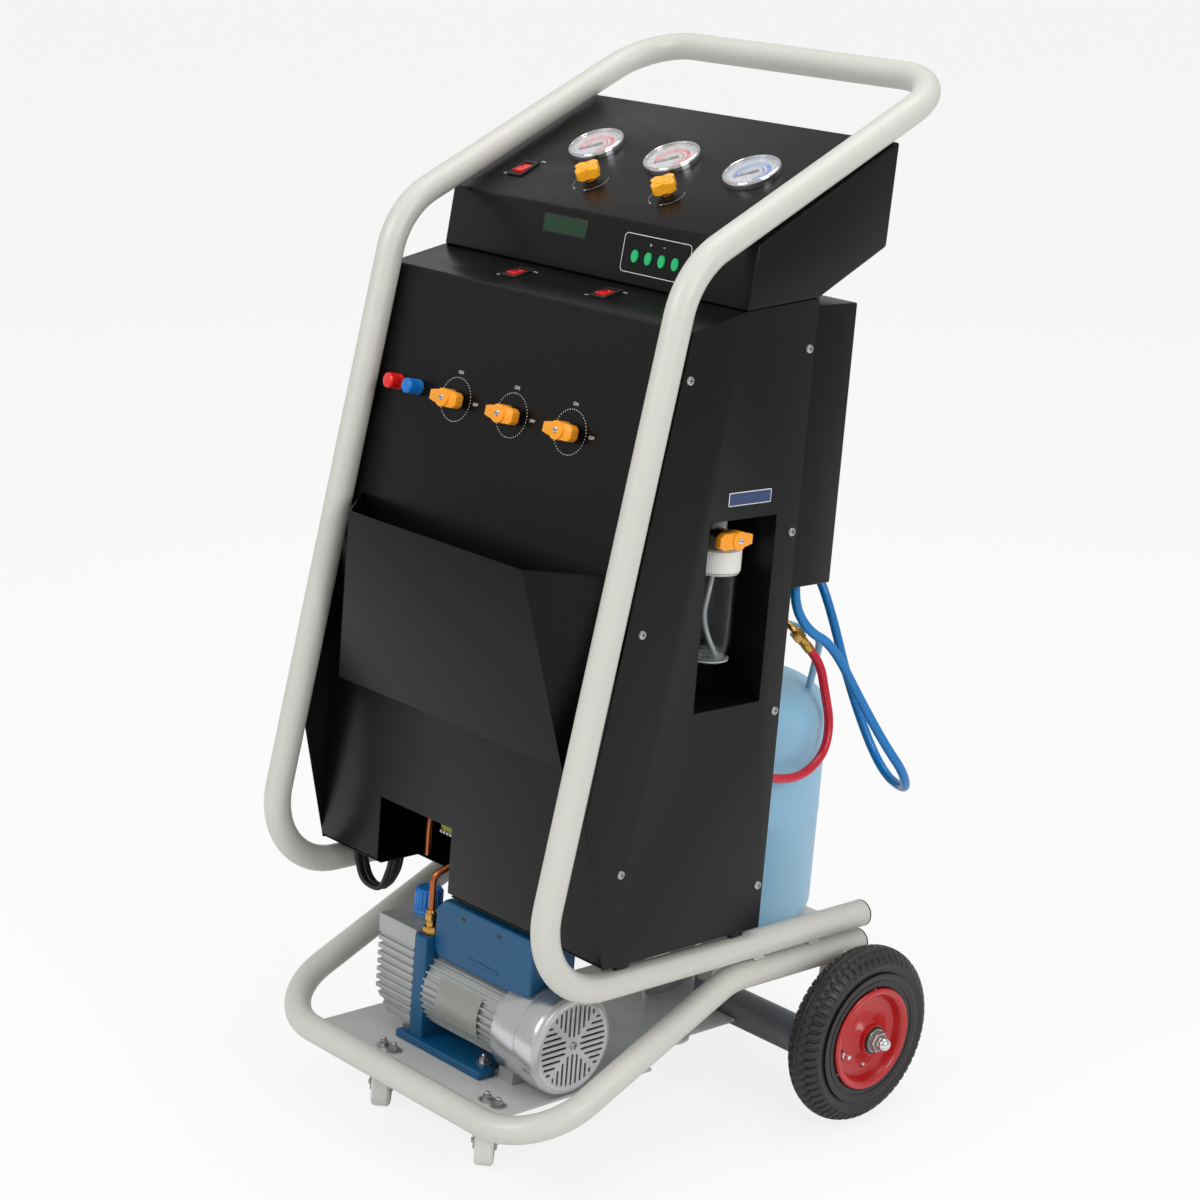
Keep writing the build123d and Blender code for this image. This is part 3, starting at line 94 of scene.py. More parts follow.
def frontMatrix(x, down, lift=0.0):
    return faceMatrix(panelFold, shelfFront, frontRun - down, x, lift)


def sideMatrix(y, z, lift=0.0, side=1):
    return planeMatrix((side * (housingHalf + lift), y, z), (0, side, 0), (side, 0, 0))


# Camera, measured in the photograph's frame of 1200 by 1200 pixels. The rows point to its
# right, down and ahead, and its place is in cart millimetres.
photoCamera = {
    "right": (0.678551260648753, 0.7304729643917849, 0.07731387304143228),
    "down": (0.2342734577571444, -0.11545421410141926, -0.9652907704089663),
    "ahead": (-0.6961925981095318, 0.673111857523623, -0.24947202969190382),
    "place": (2251.0959, -2369.8712, 1288.8263),
    "focalPixels": 2775.294,
    "middle": (600.399, 598.830),
    "framePixels": 1200,
    "sensor": 36.0,
}
halfFrame = photoCamera["framePixels"] / 2
cameraData = bpy.data.cameras.new("camera")
cameraData.sensor_width = photoCamera["sensor"]
cameraData.lens = photoCamera["focalPixels"] / photoCamera["framePixels"] * photoCamera["sensor"]
cameraData.shift_x = (halfFrame - photoCamera["middle"][0]) / photoCamera["framePixels"]
cameraData.shift_y = (photoCamera["middle"][1] - halfFrame) / photoCamera["framePixels"]
cameraData.clip_end = 200
camera = bpy.data.objects.new("camera", cameraData)
bpy.context.collection.objects.link(camera)
right, down, ahead = (Vector(photoCamera[row]) for row in ("right", "down", "ahead"))
turn = Matrix((right, -down, -ahead)).transposed()
lean3 = Matrix.Rotation(-leanAngle, 3, "X")
place = stance @ Vector(photoCamera["place"])
camera.matrix_world = Matrix.Translation(place) @ (lean3 @ turn).to_4x4()
bpy.context.scene.camera = camera

scene = bpy.context.scene
scene.view_settings.view_transform = "Standard"


# Materials
def linear(red, green, blue):
    # From the 0 to 255 values of a photograph to linear light.
    def channel(value):
        c = value / 255
        return c / 12.92 if c <= 0.04045 else ((c + 0.055) / 1.055) ** 2.4

    return (channel(red), channel(green), channel(blue), 1.0)


def newMaterial(name):
    mat = bpy.data.materials.new(name)
    mat.use_nodes = True
    mat.node_tree.nodes.clear()
    out = mat.node_tree.nodes.new("ShaderNodeOutputMaterial")
    shader = mat.node_tree.nodes.new("ShaderNodeBsdfPrincipled")
    mat.node_tree.links.new(shader.outputs["BSDF"], out.inputs["Surface"])
    return mat, shader


def addNode(tree, kind, sockets=None):
    # A node with some of its sockets set to constants.
    node = tree.nodes.new("ShaderNode" + kind)
    for socket, value in (sockets or {}).items():
        node.inputs[socket].default_value = value
    return node


def finish(name, colour, roughness, metallic=0.0, grain=900.0, bump=0.05, mottle=0.06,
           spread=0.08, coat=0.0, specular=0.5):
    # A finish with a fine grain in its height and gloss, and a slow drift in its colour.
    mat, shader = newMaterial(name)
    tree = mat.node_tree
    link = tree.links.new
    coords = addNode(tree, "TexCoord")
    mapping = addNode(tree, "Mapping")
    link(coords.outputs["Object"], mapping.inputs["Vector"])
    fine = addNode(tree, "TexNoise", {"Scale": grain, "Detail": 3.0})
    link(mapping.outputs["Vector"], fine.inputs["Vector"])
    slow = addNode(tree, "TexNoise", {"Scale": 9.0, "Detail": 4.0})
    link(mapping.outputs["Vector"], slow.inputs["Vector"])
    tint = addNode(tree, "MapRange", {
        "From Min": 0.25, "From Max": 0.75, "To Min": 1 - mottle, "To Max": 1 + mottle,
    })
    link(slow.outputs["Fac"], tint.inputs["Value"])
    shade = addNode(tree, "HueSaturation", {"Color": colour})
    link(tint.outputs["Result"], shade.inputs["Value"])
    link(shade.outputs["Color"], shader.inputs["Base Color"])
    gloss = addNode(tree, "MapRange", {
        "To Min": max(roughness - spread, 0.02), "To Max": min(roughness + spread, 1.0),
    })
    link(fine.outputs["Fac"], gloss.inputs["Value"])
    link(gloss.outputs["Result"], shader.inputs["Roughness"])
    height = addNode(tree, "Bump", {"Strength": bump, "Distance": 0.0002})
    link(fine.outputs["Fac"], height.inputs["Height"])
    link(height.outputs["Normal"], shader.inputs["Normal"])
    shader.inputs["Metallic"].default_value = metallic
    shader.inputs["Coat Weight"].default_value = coat
    shader.inputs["Coat Roughness"].default_value = 0.12
    shader.inputs["Specular IOR Level"].default_value = specular
    return mat


framePaint = finish("framePaint", linear(204, 203, 196), 0.36, grain=1400, bump=0.12, mottle=0.02)
blackPaint = finish("blackPaint", linear(10, 10, 11), 0.3, grain=1600, bump=0.06, mottle=0.08,
                    specular=0.24)
blackPlastic = finish("blackPlastic", linear(24, 24, 25), 0.4, grain=700, bump=0.08)
greyPlate = finish("greyPlate", linear(186, 187, 185), 0.45, grain=1200, bump=0.12, mottle=0.04)
zinc = finish("zinc", linear(178, 178, 176), 0.3, metallic=0.9, grain=500, bump=0.12, mottle=0.1)
chrome = finish("chrome", linear(225, 226, 228), 0.09, metallic=1.0, grain=300, bump=0.02, mottle=0.02,
                spread=0.03)
brass = finish("brass", linear(206, 160, 84), 0.28, metallic=1.0, grain=600, bump=0.08, mottle=0.12)
copper = finish("copper", linear(186, 108, 66), 0.3, metallic=1.0, grain=600, bump=0.08, mottle=0.2)
orange = finish("orange", linear(247, 158, 32), 0.34, grain=500, bump=0.05, mottle=0.04)
whitePlastic = finish("whitePlastic", linear(228, 228, 224), 0.35, grain=500, bump=0.05, mottle=0.03)
redPlastic = finish("redPlastic", linear(230, 26, 20), 0.2, grain=400, bump=0.03, mottle=0.06, coat=0.5)
bluePlastic = finish("bluePlastic", linear(20, 116, 196), 0.3, grain=400, bump=0.04, mottle=0.06)
greenKey = finish("greenKey", linear(24, 190, 112), 0.4, grain=400, bump=0.04, mottle=0.05)
tyreRubber = finish("tyreRubber", linear(36, 35, 35), 0.42, grain=700, bump=0.25, mottle=0.15)
rimRed = finish("rimRed", linear(188, 28, 30), 0.3, grain=500, bump=0.08, mottle=0.08, coat=0.3)
pumpBlue = finish("pumpBlue", linear(2, 78, 120), 0.42, grain=900, bump=0.22, mottle=0.08)
castMetal = finish("castMetal", linear(176, 178, 178), 0.4, metallic=0.55, grain=650, bump=0.3,
                   mottle=0.08)
cowlMetal = finish("cowlMetal", linear(190, 192, 192), 0.36, metallic=0.5, grain=900, bump=0.12,
                   mottle=0.05)
tankBlue = finish("tankBlue", linear(150, 198, 226), 0.36, grain=900, bump=0.08, mottle=0.04)
hoseBlue = finish("hoseBlue", linear(0, 116, 188), 0.26, grain=500, bump=0.06, mottle=0.06)
hoseRed = finish("hoseRed", linear(206, 22, 48), 0.26, grain=500, bump=0.06, mottle=0.06)
blackRubber = finish("blackRubber", linear(22, 22, 22), 0.5, grain=700, bump=0.15)
compressorPaint = finish("compressorPaint", linear(150, 146, 96), 0.4, grain=500, bump=0.15,
                         mottle=0.25)
# White for print; the same white also paints the highlights on the rockers.
whiteInkAndHighlight = finish("whiteInkAndHighlight", linear(226, 226, 224), 0.5, grain=900, bump=0.03, mottle=0.02)


def clearMaterial(name, colour, roughness, alpha, ior):
    mat, shader = newMaterial(name)
    tree = mat.node_tree
    coords = addNode(tree, "TexCoord")
    noise = addNode(tree, "TexNoise", {"Scale": 60.0})
    tree.links.new(coords.outputs["Object"], noise.inputs["Vector"])
    gloss = addNode(tree, "MapRange", {"To Min": roughness, "To Max": roughness + 0.06})
    tree.links.new(noise.outputs["Fac"], gloss.inputs["Value"])
    tree.links.new(gloss.outputs["Result"], shader.inputs["Roughness"])
    shader.inputs["Base Color"].default_value = colour
    shader.inputs["Transmission Weight"].default_value = 1.0
    shader.inputs["IOR"].default_value = ior
    shader.inputs["Alpha"].default_value = alpha
    return mat


glassClear = clearMaterial("glassClear", (0.97, 0.98, 0.98, 1), 0.01, 0.35, ior=1.3)
bottleClear = clearMaterial("bottleClear", (0.9, 0.93, 0.94, 1), 0.04, 0.75, ior=1.25)

dressing = (
    (framePaint, "upper_frame lower_frame axle_carrier tank_stand"),
    (blackPaint, "side_panel_right side_panel_left front_panel rear_panel rear_box console_box"),
    (blackPaint, "document_pocket"),
    (blackPlastic, "frame_plugs needle_left needle_middle needle_right switch_bezels pump_fan"),
    (zinc, "axle_hardware caster_fork_right caster_fork_left"),
    (tyreRubber, "tyre_right tyre_left"),
    (rimRed, "rim_right rim_left"),
    (greyPlate, "base_plate"),
    (whitePlastic, "caster_wheel_right caster_wheel_left oil_bottle_cap"),
    (chrome, "gauge_cases"),
    (glassClear, "gauge_glasses"),
    (orange, "console_knob_left console_knob_right niche_valve_handle"),
    (orange, "valve_handle_left valve_handle_middle valve_handle_right"),
    (brass, "panel_valves tank_valve"),
    (redPlastic, "port_caps rocker_console rocker_shelf_left rocker_shelf_right"),
    (greenKey, "button_first button_second button_third button_fourth"),
    (bottleClear, "oil_bottle waste_oil_bottle"),
    (pumpBlue, "pump_base pump_top"),
    (castMetal, "pump_oil_case pump_motor"),
    (cowlMetal, "pump_cowl"),
    (bluePlastic, "pump_filler_cap"),
    (copper, "pump_fitting"),
    (compressorPaint, "compressor"),
    (tankBlue, "tank"),
    (hoseBlue, "blue_hose"),
    (hoseRed, "red_hose"),
    (blackRubber, "power_cord_hank"),
)
nodeMaterials = {nodeName: mat for mat, names in dressing for nodeName in names.split()}
for nodeName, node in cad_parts.items():
    node.data.materials.clear()
    node.data.materials.append(nodeMaterials[nodeName])

# Floor, lamps and the pale background
stage = {
    "floorReach": 60,
    "floorGrey": 0.9,
    "floorGlow": 0.82,      # how far the floor fades to plain white for the camera
    "skyStrength": 0.55,
}
floorMesh = bpy.data.meshes.new("floor")
corners = [(-1, -1), (1, -1), (1, 1), (-1, 1)]
floorMesh.from_pydata([(x * stage["floorReach"], y * stage["floorReach"], 0) for x, y in corners], [],
                      [(0, 1, 2, 3)])
floor = bpy.data.objects.new("floor", floorMesh)
bpy.context.collection.objects.link(floor)


def seenDirectly(tree):
    # One where a ray comes from the camera, also through glass.
    path = addNode(tree, "LightPath")
    seen = addNode(tree, "Math")
    seen.operation = "MAXIMUM"
    tree.links.new(path.outputs["Is Camera Ray"], seen.inputs[0])
    tree.links.new(path.outputs["Is Transmission Ray"], seen.inputs[1])
    return seen


floorMat = bpy.data.materials.new("floorMat")
floorMat.use_nodes = True
tree = floorMat.node_tree
tree.nodes.clear()
link = tree.links.new
grey = stage["floorGrey"]
out = addNode(tree, "OutputMaterial")
diffuse = addNode(tree, "BsdfDiffuse", {"Color": (grey, grey, grey, 1)})
clear = addNode(tree, "Emission", {"Color": (1, 1, 1, 1), "Strength": 1.0})
mixer = addNode(tree, "MixShader")
share = addNode(tree, "Math")
share.operation = "MULTIPLY"
share.inputs[1].default_value = stage["floorGlow"]
link(seenDirectly(tree).outputs["Value"], share.inputs[0])
link(share.outputs["Value"], mixer.inputs["Fac"])
link(diffuse.outputs["BSDF"], mixer.inputs[1])
link(clear.outputs["Emission"], mixer.inputs[2])
link(mixer.outputs["Shader"], out.inputs["Surface"])
floorMesh.materials.append(floorMat)

world = bpy.data.worlds.new("world")
scene.world = world
world.use_nodes = True
tree = world.node_tree
tree.nodes.clear()
link = tree.links.new
out = addNode(tree, "OutputWorld")
soft = addNode(tree, "Background", {"Color": (1, 1, 1, 1), "Strength": stage["skyStrength"]})
white = addNode(tree, "Background", {"Color": (1, 1, 1, 1), "Strength": 1.0})
mixer = addNode(tree, "MixShader")
link(seenDirectly(tree).outputs["Value"], mixer.inputs["Fac"])
link(soft.outputs["Background"], mixer.inputs[1])
link(white.outputs["Background"], mixer.inputs[2])
link(mixer.outputs["Shader"], out.inputs["Surface"])


def lamp(name, place, target, size, power):
    data = bpy.data.lights.new(name, "AREA")
    data.shape = "SQUARE"
    data.size = size
    data.energy = power
    lampObject = bpy.data.objects.new(name, data)
    bpy.context.collection.objects.link(lampObject)
    lampObject.location = place
    aim = Vector(target) - Vector(place)
    lampObject.rotation_euler = aim.to_track_quat("-Z", "Y").to_euler()


lamp("keyLamp", (-0.4, -3.2, 3.0), (0, 0, 0.6), 1.6, 55)
lamp("sideLamp", (3.4, -0.2, 2.2), (0, 0, 0.6), 1.6, 40)
lamp("topLamp", (0.3, 0.6, 3.6), (0, 0, 0.6), 1.8, 30)
print("camera, lights and materials are ready")

# Mesh helpers. Shapes are drawn in millimetres in a local frame and then placed on the cart.
identity = Matrix.Identity(4)


def build(name, bm, mat, body="cart", angle=35.0, swaps=()):
    # Turns a drawn shape into a placed piece, smooth across edges flatter than angle.
    bmesh.ops.recalc_face_normals(bm, faces=bm.faces)
    for face in bm.faces:
        face.smooth = True
    for edge in bm.edges:
        edge.smooth = edge.is_manifold and edge.calc_face_angle(0.0) < math.radians(angle)
    mesh = bpy.data.meshes.new(name)
    bm.to_mesh(mesh)
    bm.free()
    mesh.transform(stance)
    mesh.materials.append(mat)
    piece = bpy.data.objects.new(name, mesh)
    bpy.context.collection.objects.link(piece)
    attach(piece, body)
    if swaps:
        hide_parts(*swaps)
    return piece


def addBox(bm, centre, size, bevel=0.0, matrix=identity, steps=2):
    made = bmesh.ops.create_cube(bm, size=1.0)["verts"]
    shape = matrix @ Matrix.Translation(centre) @ Matrix.Diagonal((*size, 1))
    bmesh.ops.transform(bm, matrix=shape, verts=made)
    if bevel:
        edges = list({edge for vert in made for edge in vert.link_edges})
        bmesh.ops.bevel(bm, geom=edges, offset=bevel, segments=steps, affect="EDGES", profile=0.5)


def addLathe(bm, profile, sides=48, matrix=identity, closed=False):
    # Turns a profile of (radius, height) about the local z axis.
    step = 2 * math.pi / sides
    rings = []
    for radius, height in profile:
        if radius < 1e-6:
            rings.append([bm.verts.new(matrix @ Vector((0, 0, height)))])
            continue
        rings.append([
            bm.verts.new(matrix @ Vector((radius * math.cos(a), radius * math.sin(a), height)))
            for a in (k * step for k in range(sides))
        ])
    pairs = list(zip(rings, rings[1:]))
    if closed:
        pairs.append((rings[-1], rings[0]))
    for low, high in pairs:
        for k in range(sides):
            n = (k + 1) % sides
            if len(low) == 1 and len(high) == 1:
                continue
            if len(low) == 1:
                bm.faces.new((low[0], high[n], high[k]))
            elif len(high) == 1:
                bm.faces.new((low[k], low[n], high[0]))
            else:
                bm.faces.new((low[k], low[n], high[n], high[k]))


def addPrism(bm, outline, low, high, bevel=0.0, matrix=identity, steps=2):
    # A flat outline of (x, y) raised along local z, with its rims rounded over.
    floorRing = [bm.verts.new(matrix @ Vector((x, y, low))) for x, y in outline]
    roofRing = [bm.verts.new(matrix @ Vector((x, y, high))) for x, y in outline]
    count = len(outline)
    ends = [bm.faces.new(list(reversed(floorRing))), bm.faces.new(roofRing)]
    for k in range(count):
        n = (k + 1) % count
        bm.faces.new((floorRing[k], floorRing[n], roofRing[n], roofRing[k]))
    if bevel:
        rims = [edge for face in ends for edge in face.edges]
        bmesh.ops.bevel(bm, geom=rims, offset=bevel, segments=steps, affect="EDGES", profile=0.5)


def addSweep(bm, points, radius, sides=16, closed=False):
    # A round bar along points, its section carried from point to point without twist.
    line = [Vector(p) for p in points]
    count = len(line)
    rings = []
    side = None
    for k in range(count):
        before = line[k - 1] if (k > 0 or closed) else line[k]
        after = line[(k + 1) % count] if (k < count - 1 or closed) else line[k]
        run = (after - before).normalized()
        if side is None:
            side = run.orthogonal().normalized()
        side = (side - run * side.dot(run)).normalized()
        other = run.cross(side)
        rings.append([
            bm.verts.new(line[k] + side * radius * math.cos(a) + other * radius * math.sin(a))
            for a in (2 * math.pi * j / sides for j in range(sides))
        ])
    for k in range(count if closed else count - 1):
        low, high = rings[k], rings[(k + 1) % count]
        for j in range(sides):
            n = (j + 1) % sides
            bm.faces.new((low[j], low[n], high[n], high[j]))
    if not closed:
        bm.faces.new(list(reversed(rings[0])))
        bm.faces.new(rings[-1])


def roundedOutline(width, height, radius, steps=6):
    # A rounded rectangle about the origin, as (x, y) points.
    points = []
    for cx, cy, start in ((1, 1, 0), (-1, 1, 90), (-1, -1, 180), (1, -1, 270)):
        for k in range(steps + 1):
            a = math.radians(start + 90 * k / steps)
            points.append((cx * (width / 2 - radius) + radius * math.cos(a),
                           cy * (height / 2 - radius) + radius * math.sin(a)))
    return points


def circleOutline(radius, sides=24):
    angles = [2 * math.pi * k / sides for k in range(sides)]
    return [(radius * math.cos(a), radius * math.sin(a)) for a in angles]


def hexOutline(across):
    return circleOutline(across / 2 / math.cos(math.pi / 6), 6)


def ribbedOutline(steps, isRib, ribRadius, grooveRadius):
    # A round outline whose radius changes between ribs and grooves.
    points = []
    for k in range(steps):
        a = 2 * math.pi * k / steps
        r = ribRadius if isRib(k, a) else grooveRadius
        points.append((r * math.cos(a), r * math.sin(a)))
    return points


def filleted(corners, radii, steps=14):
    # The centreline of a bent tube: straight runs joined by arcs of the given radii.
    corners = [Vector(c) for c in corners]
    points = [corners[0]]
    for before, corner, after, radius in zip(corners, corners[1:], corners[2:], radii):
        a = (before - corner).normalized()
        b = (after - corner).normalized()
        half = a.angle(b) / 2
        middle = corner + (a + b).normalized() * (radius / math.sin(half))
        first = (corner + a * (radius / math.tan(half)) - middle).normalized()
        last = (corner + b * (radius / math.tan(half)) - middle).normalized()
        for k in range(steps + 1):
            points.append(middle + first.slerp(last, k / steps) * radius)
    points.append(corners[-1])
    return points


def single(draw):
    # Makes a piece of one drawn shape: its name and material, then what draw takes.
    def make(name, mat, *shape, body="cart", angle=35.0, swaps=(), **options):
        bm = bmesh.new()
        draw(bm, *shape, **options)
        build(name, bm, mat, body, angle=angle, swaps=swaps)

    return make


turned = single(addLathe)
raised = single(addPrism)
piped = single(addSweep)
boxed = single(addBox)


def printed(name, drawings, mat, body="cart"):
    # Ink that stands a hair above its sheet. Each drawing is (matrix, outline, low, high).
    bm = bmesh.new()
    for matrix, outline, low, high in drawings:
        addPrism(bm, outline, low, high, matrix=matrix)
    return build(name, bm, mat, body)


def lettering(name, words, mat, body="cart"):
    # Plain printed characters. Each entry is (matrix, text, height).
    bm = bmesh.new()
    for matrix, text, height in words:
        curve = bpy.data.curves.new(name, "FONT")
        curve.body = text
        curve.size = height
        curve.align_x = "CENTER"
        curve.align_y = "CENTER"
        curve.extrude = 0.03
        holder = bpy.data.objects.new(name, curve)
        bpy.context.collection.objects.link(holder)
        bpy.context.view_layer.update()
        flat = bpy.data.meshes.new_from_object(holder)
        flat.transform(matrix @ Matrix.Translation((0, 0, 0.06)))
        bm.from_mesh(flat)
        bpy.data.objects.remove(holder)
        bpy.data.meshes.remove(flat)
    return build(name, bm, mat, body)


# Sheet metal with soft folds, in millimetres. The folds are rounded more than the cut rims.
sheetRim = 0.35
sheetFolds = {
    "side_panel_right": 0.5, "side_panel_left": 0.5, "front_panel": 3.0, "rear_panel": 2.0,
    "rear_box": 2.0, "console_box": 3.0, "document_pocket": 2.0, "tank_stand": 1.0, "base_plate": 0.8,
    "pump_base": 2.0,
}


def cadCopy(nodeName):
    # The solid of a node in scene metres, with the flat triangles merged to faces.
    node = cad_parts[nodeName]
    bm = bmesh.new()
    bm.from_mesh(node.data)
    bmesh.ops.transform(bm, matrix=node.matrix_world, verts=bm.verts)
    bmesh.ops.remove_doubles(bm, verts=bm.verts, dist=0.00001)
    bmesh.ops.dissolve_limit(bm, angle_limit=math.radians(0.5), verts=bm.verts, edges=bm.edges)
    return bm


def roundEdges(bm, edges, width, segments):
    bmesh.ops.bevel(bm, geom=edges, offset=width / 1000, segments=segments, affect="EDGES",
                    profile=0.5, clamp_overlap=True)


def narrow(face):
    # True for the thin faces along a sheet's cut rim.
    around = sum(edge.calc_length() for edge in face.edges)
    return 2 * face.calc_area() / around < 0.0028


def softened(nodeName, fold):
    bm = cadCopy(nodeName)
    for wide, width in ((False, sheetRim), (True, fold)):
        least = math.radians(8 if wide else 40)
        edges = []
        for edge in bm.edges:
            if not edge.is_manifold or edge.calc_face_angle_signed(0.0) < least:
                continue
            thin = any(narrow(face) for face in edge.link_faces)
            if thin != wide and edge.calc_length() > 0.008:
                edges.append(edge)
        if edges:
            roundEdges(bm, edges, width, 3)
    bmesh.ops.transform(bm, matrix=stance.inverted(), verts=bm.verts)
    build(nodeName + "Soft", bm, nodeMaterials[nodeName], swaps=(nodeName,), angle=30)


for nodeName, fold in sheetFolds.items():
    softened(nodeName, fold)

# Frame tubes, their plugs and the weld beads
tubes = {
    "plugY": 48.5,
    "upperZ": 122,
    "lowerZ": 86,
    "upperBends": [90, 100, 70, 70, 100, 90],
    "lowerBends": [80, 85, 85, 80],
    "spacerY": (-127, -34),
    "spacerSize": (5, 13, 9),
    "spacerZ": 104,
    "plug": [(13.8, -12), (13.8, 0), (16.0, 0), (16.2, 0.6), (16.1, 2.0), (14.5, 3.0), (10, 3.3),
             (6, 3.0), (0, 2.9)],
}
upperCorners = [
    (frameHalf, tubes["plugY"], tubes["upperZ"]), (frameHalf, -485, tubes["upperZ"]),
    (frameHalf, -335, 908), (frameHalf, 52.5, 1104.5),
]
upperCorners += [(-x, y, z) for x, y, z in reversed(upperCorners)]
lowerCorners = [
    (frameHalf, tubes["plugY"], tubes["lowerZ"]), (frameHalf, -170.5, tubes["lowerZ"]),
    (frameHalf, -461.5, -50.5),
]
lowerCorners += [(-x, y, z) for x, y, z in reversed(lowerCorners)]
piped("upperTube", framePaint, filleted(upperCorners, tubes["upperBends"], 18), tubeRadius, sides=40,
      swaps=("upper_frame",))
bm = bmesh.new()
addSweep(bm, filleted(lowerCorners, tubes["lowerBends"], 18), tubeRadius, sides=40)
for side in (-1, 1):
    for y in tubes["spacerY"]:
        addBox(bm, (side * frameHalf, y, tubes["spacerZ"]), tubes["spacerSize"], bevel=1.8)
        for k in range(7):
            z = tubes["spacerZ"] + 0.5 * math.sin(2.1 * k)
            place = (side * (frameHalf + 3.0), y - 7 + k * 2.3, z)
            bmesh.ops.create_icosphere(bm, subdivisions=1, radius=2.4, matrix=Matrix.Translation(place))
build("lowerTube", bm, framePaint, swaps=("lower_frame",))
bm = bmesh.new()
for x in (-frameHalf, frameHalf):
    for z in (tubes["lowerZ"], tubes["upperZ"]):
        rear = planeMatrix((x, tubes["plugY"], z), (1, 0, 0), (0, 1, 0))
        addLathe(bm, tubes["plug"], sides=40, matrix=rear)
build("tubePlugs", bm, blackPlastic, swaps=("frame_plugs",))

# Axle carrier: painted uprights, and a cross tube left as bare dark steel
carrier = {
    "y": 8,
    "uprightRadius": 15.0,
    "weldRadius": 16.4,
    "crossZ": -42,
    "crossHalf": 226,
}
bm = bmesh.new()
for side in (-1, 1):
    ring = []
    for k in range(40):
        a = 2 * math.pi * k / 40
        drop = math.sqrt(max(16.2 ** 2 - (16.2 * math.cos(a)) ** 2, 0))
        ring.append((side * frameHalf + carrier["weldRadius"] * math.cos(a),
                     carrier["y"] + carrier["weldRadius"] * math.sin(a), tubes["lowerZ"] - drop))
    addSweep(bm, ring, 2.0, sides=8, closed=True)
    for k, point in enumerate(ring):
        bmesh.ops.create_icosphere(bm, subdivisions=1, radius=2.3 + 0.3 * math.sin(5 * k),
                                   matrix=Matrix.Translation(point))
build("uprightWelds", bm, framePaint)
bareSteel = finish("bareSteel", linear(118, 120, 123), 0.42, metallic=0.35, grain=420, bump=0.2,
                   mottle=0.14)
radius = carrier["uprightRadius"]
bm = bmesh.new()
for side in (-1, 1):
    upright = Matrix.Translation((side * frameHalf, carrier["y"], 0))
    addLathe(bm, [(radius, -62), (radius, 76)], sides=40, matrix=upright)
    addLathe(bm, [(0, -62.2), (14.2, -62.2), (radius, -61.4), (radius, -60)], sides=40, matrix=upright)
build("uprights", bm, framePaint, swaps=("axle_carrier",))
bm = bmesh.new()
half = carrier["crossHalf"]
across = planeMatrix((0, carrier["y"], carrier["crossZ"]), (0, 1, 0), (1, 0, 0))
addLathe(bm, [(0, -half), (22.6, -half), (23, 0.4 - half), (23, half - 0.4), (22.6, half), (0, half)],
         sides=48, matrix=across)
build("crossTube", bm, bareSteel)
print("frame is ready")


# Wheels. Lugs run over the shoulders, and a row of smaller blocks lies on each side of the middle.
wheel = {
    "centreX": 294.0,
    "halfWidth": 24.0,
    "lugs": 58,
    "stepsPerLug": 8,
    "stepsAcross": 46,
    "treadFrom": 92,          # radius where the lugs begin
    "shoulder": (10.6, 3.2, 0.34),      # distance from the middle, depth and share of the gaps
    "blocks": (9.4, 2.2, 0.28),
    "grooveDepth": 1.7,
    "middleDepth": 1.1,
    "holeCircle": 38.5,
    "valveAngle": 205,
    "screwAngle": 277,
    "valve": [(0, 12.5), (2.4, 12.5), (3.0, 11.8), (3.0, 6.0), (4.2, 5.2), (4.4, 0)],
    "screw": [(0, 2.4), (1.8, 2.0), (2.8, 0.8), (3.0, 0)],
}


def tyreSection():
    # The tyre's section as (x, radius), from one side wall over the tread to the other.
    half, steps = wheel["halfWidth"], wheel["stepsAcross"]
    points = []
    for k in range(steps + 1):
        a = math.pi * (-0.5 + k / steps) * 1.18
        stretch = 1 if abs(a) < math.pi / 2 else 1.25
        x = half * math.sin(a)
        if abs(a) >= 1.3:
            x = math.copysign(half * math.sin(1.3) - (abs(a) - 1.3) * 7.5, a)
        points.append((x, 84.5 + 23.0 * math.cos(a) * stretch))
    return points


def treadCut(x, radius, lug):
    # How deep the tread is cut at a point, where lug counts the lugs round the tyre.
    far = abs(x)
    phase = (lug + (0.5 if x > 0 else 0.0) + 0.018 * far) % 1.0
    cut = 0.0
    if radius > wheel["treadFrom"]:
        shoulderFrom, shoulderDepth, shoulderGap = wheel["shoulder"]
        blocksTo, blockDepth, blockGap = wheel["blocks"]
        if far > shoulderFrom:
            cut = shoulderDepth if phase < shoulderGap else 0.0
            cut *= min((radius - wheel["treadFrom"]) / 4, 1.0)
        elif far < blocksTo:
            cut = blockDepth if (phase + 0.5) % 1.0 < blockGap and far > 2.0 else 0.0
        else:
            cut = wheel["grooveDepth"]
    return wheel["middleDepth"] if far < 1.0 else cut


def wheelAxle(side):
    return planeMatrix((side * wheel["centreX"], 0, 0), (0, 1, 0), (side, 0, 0))


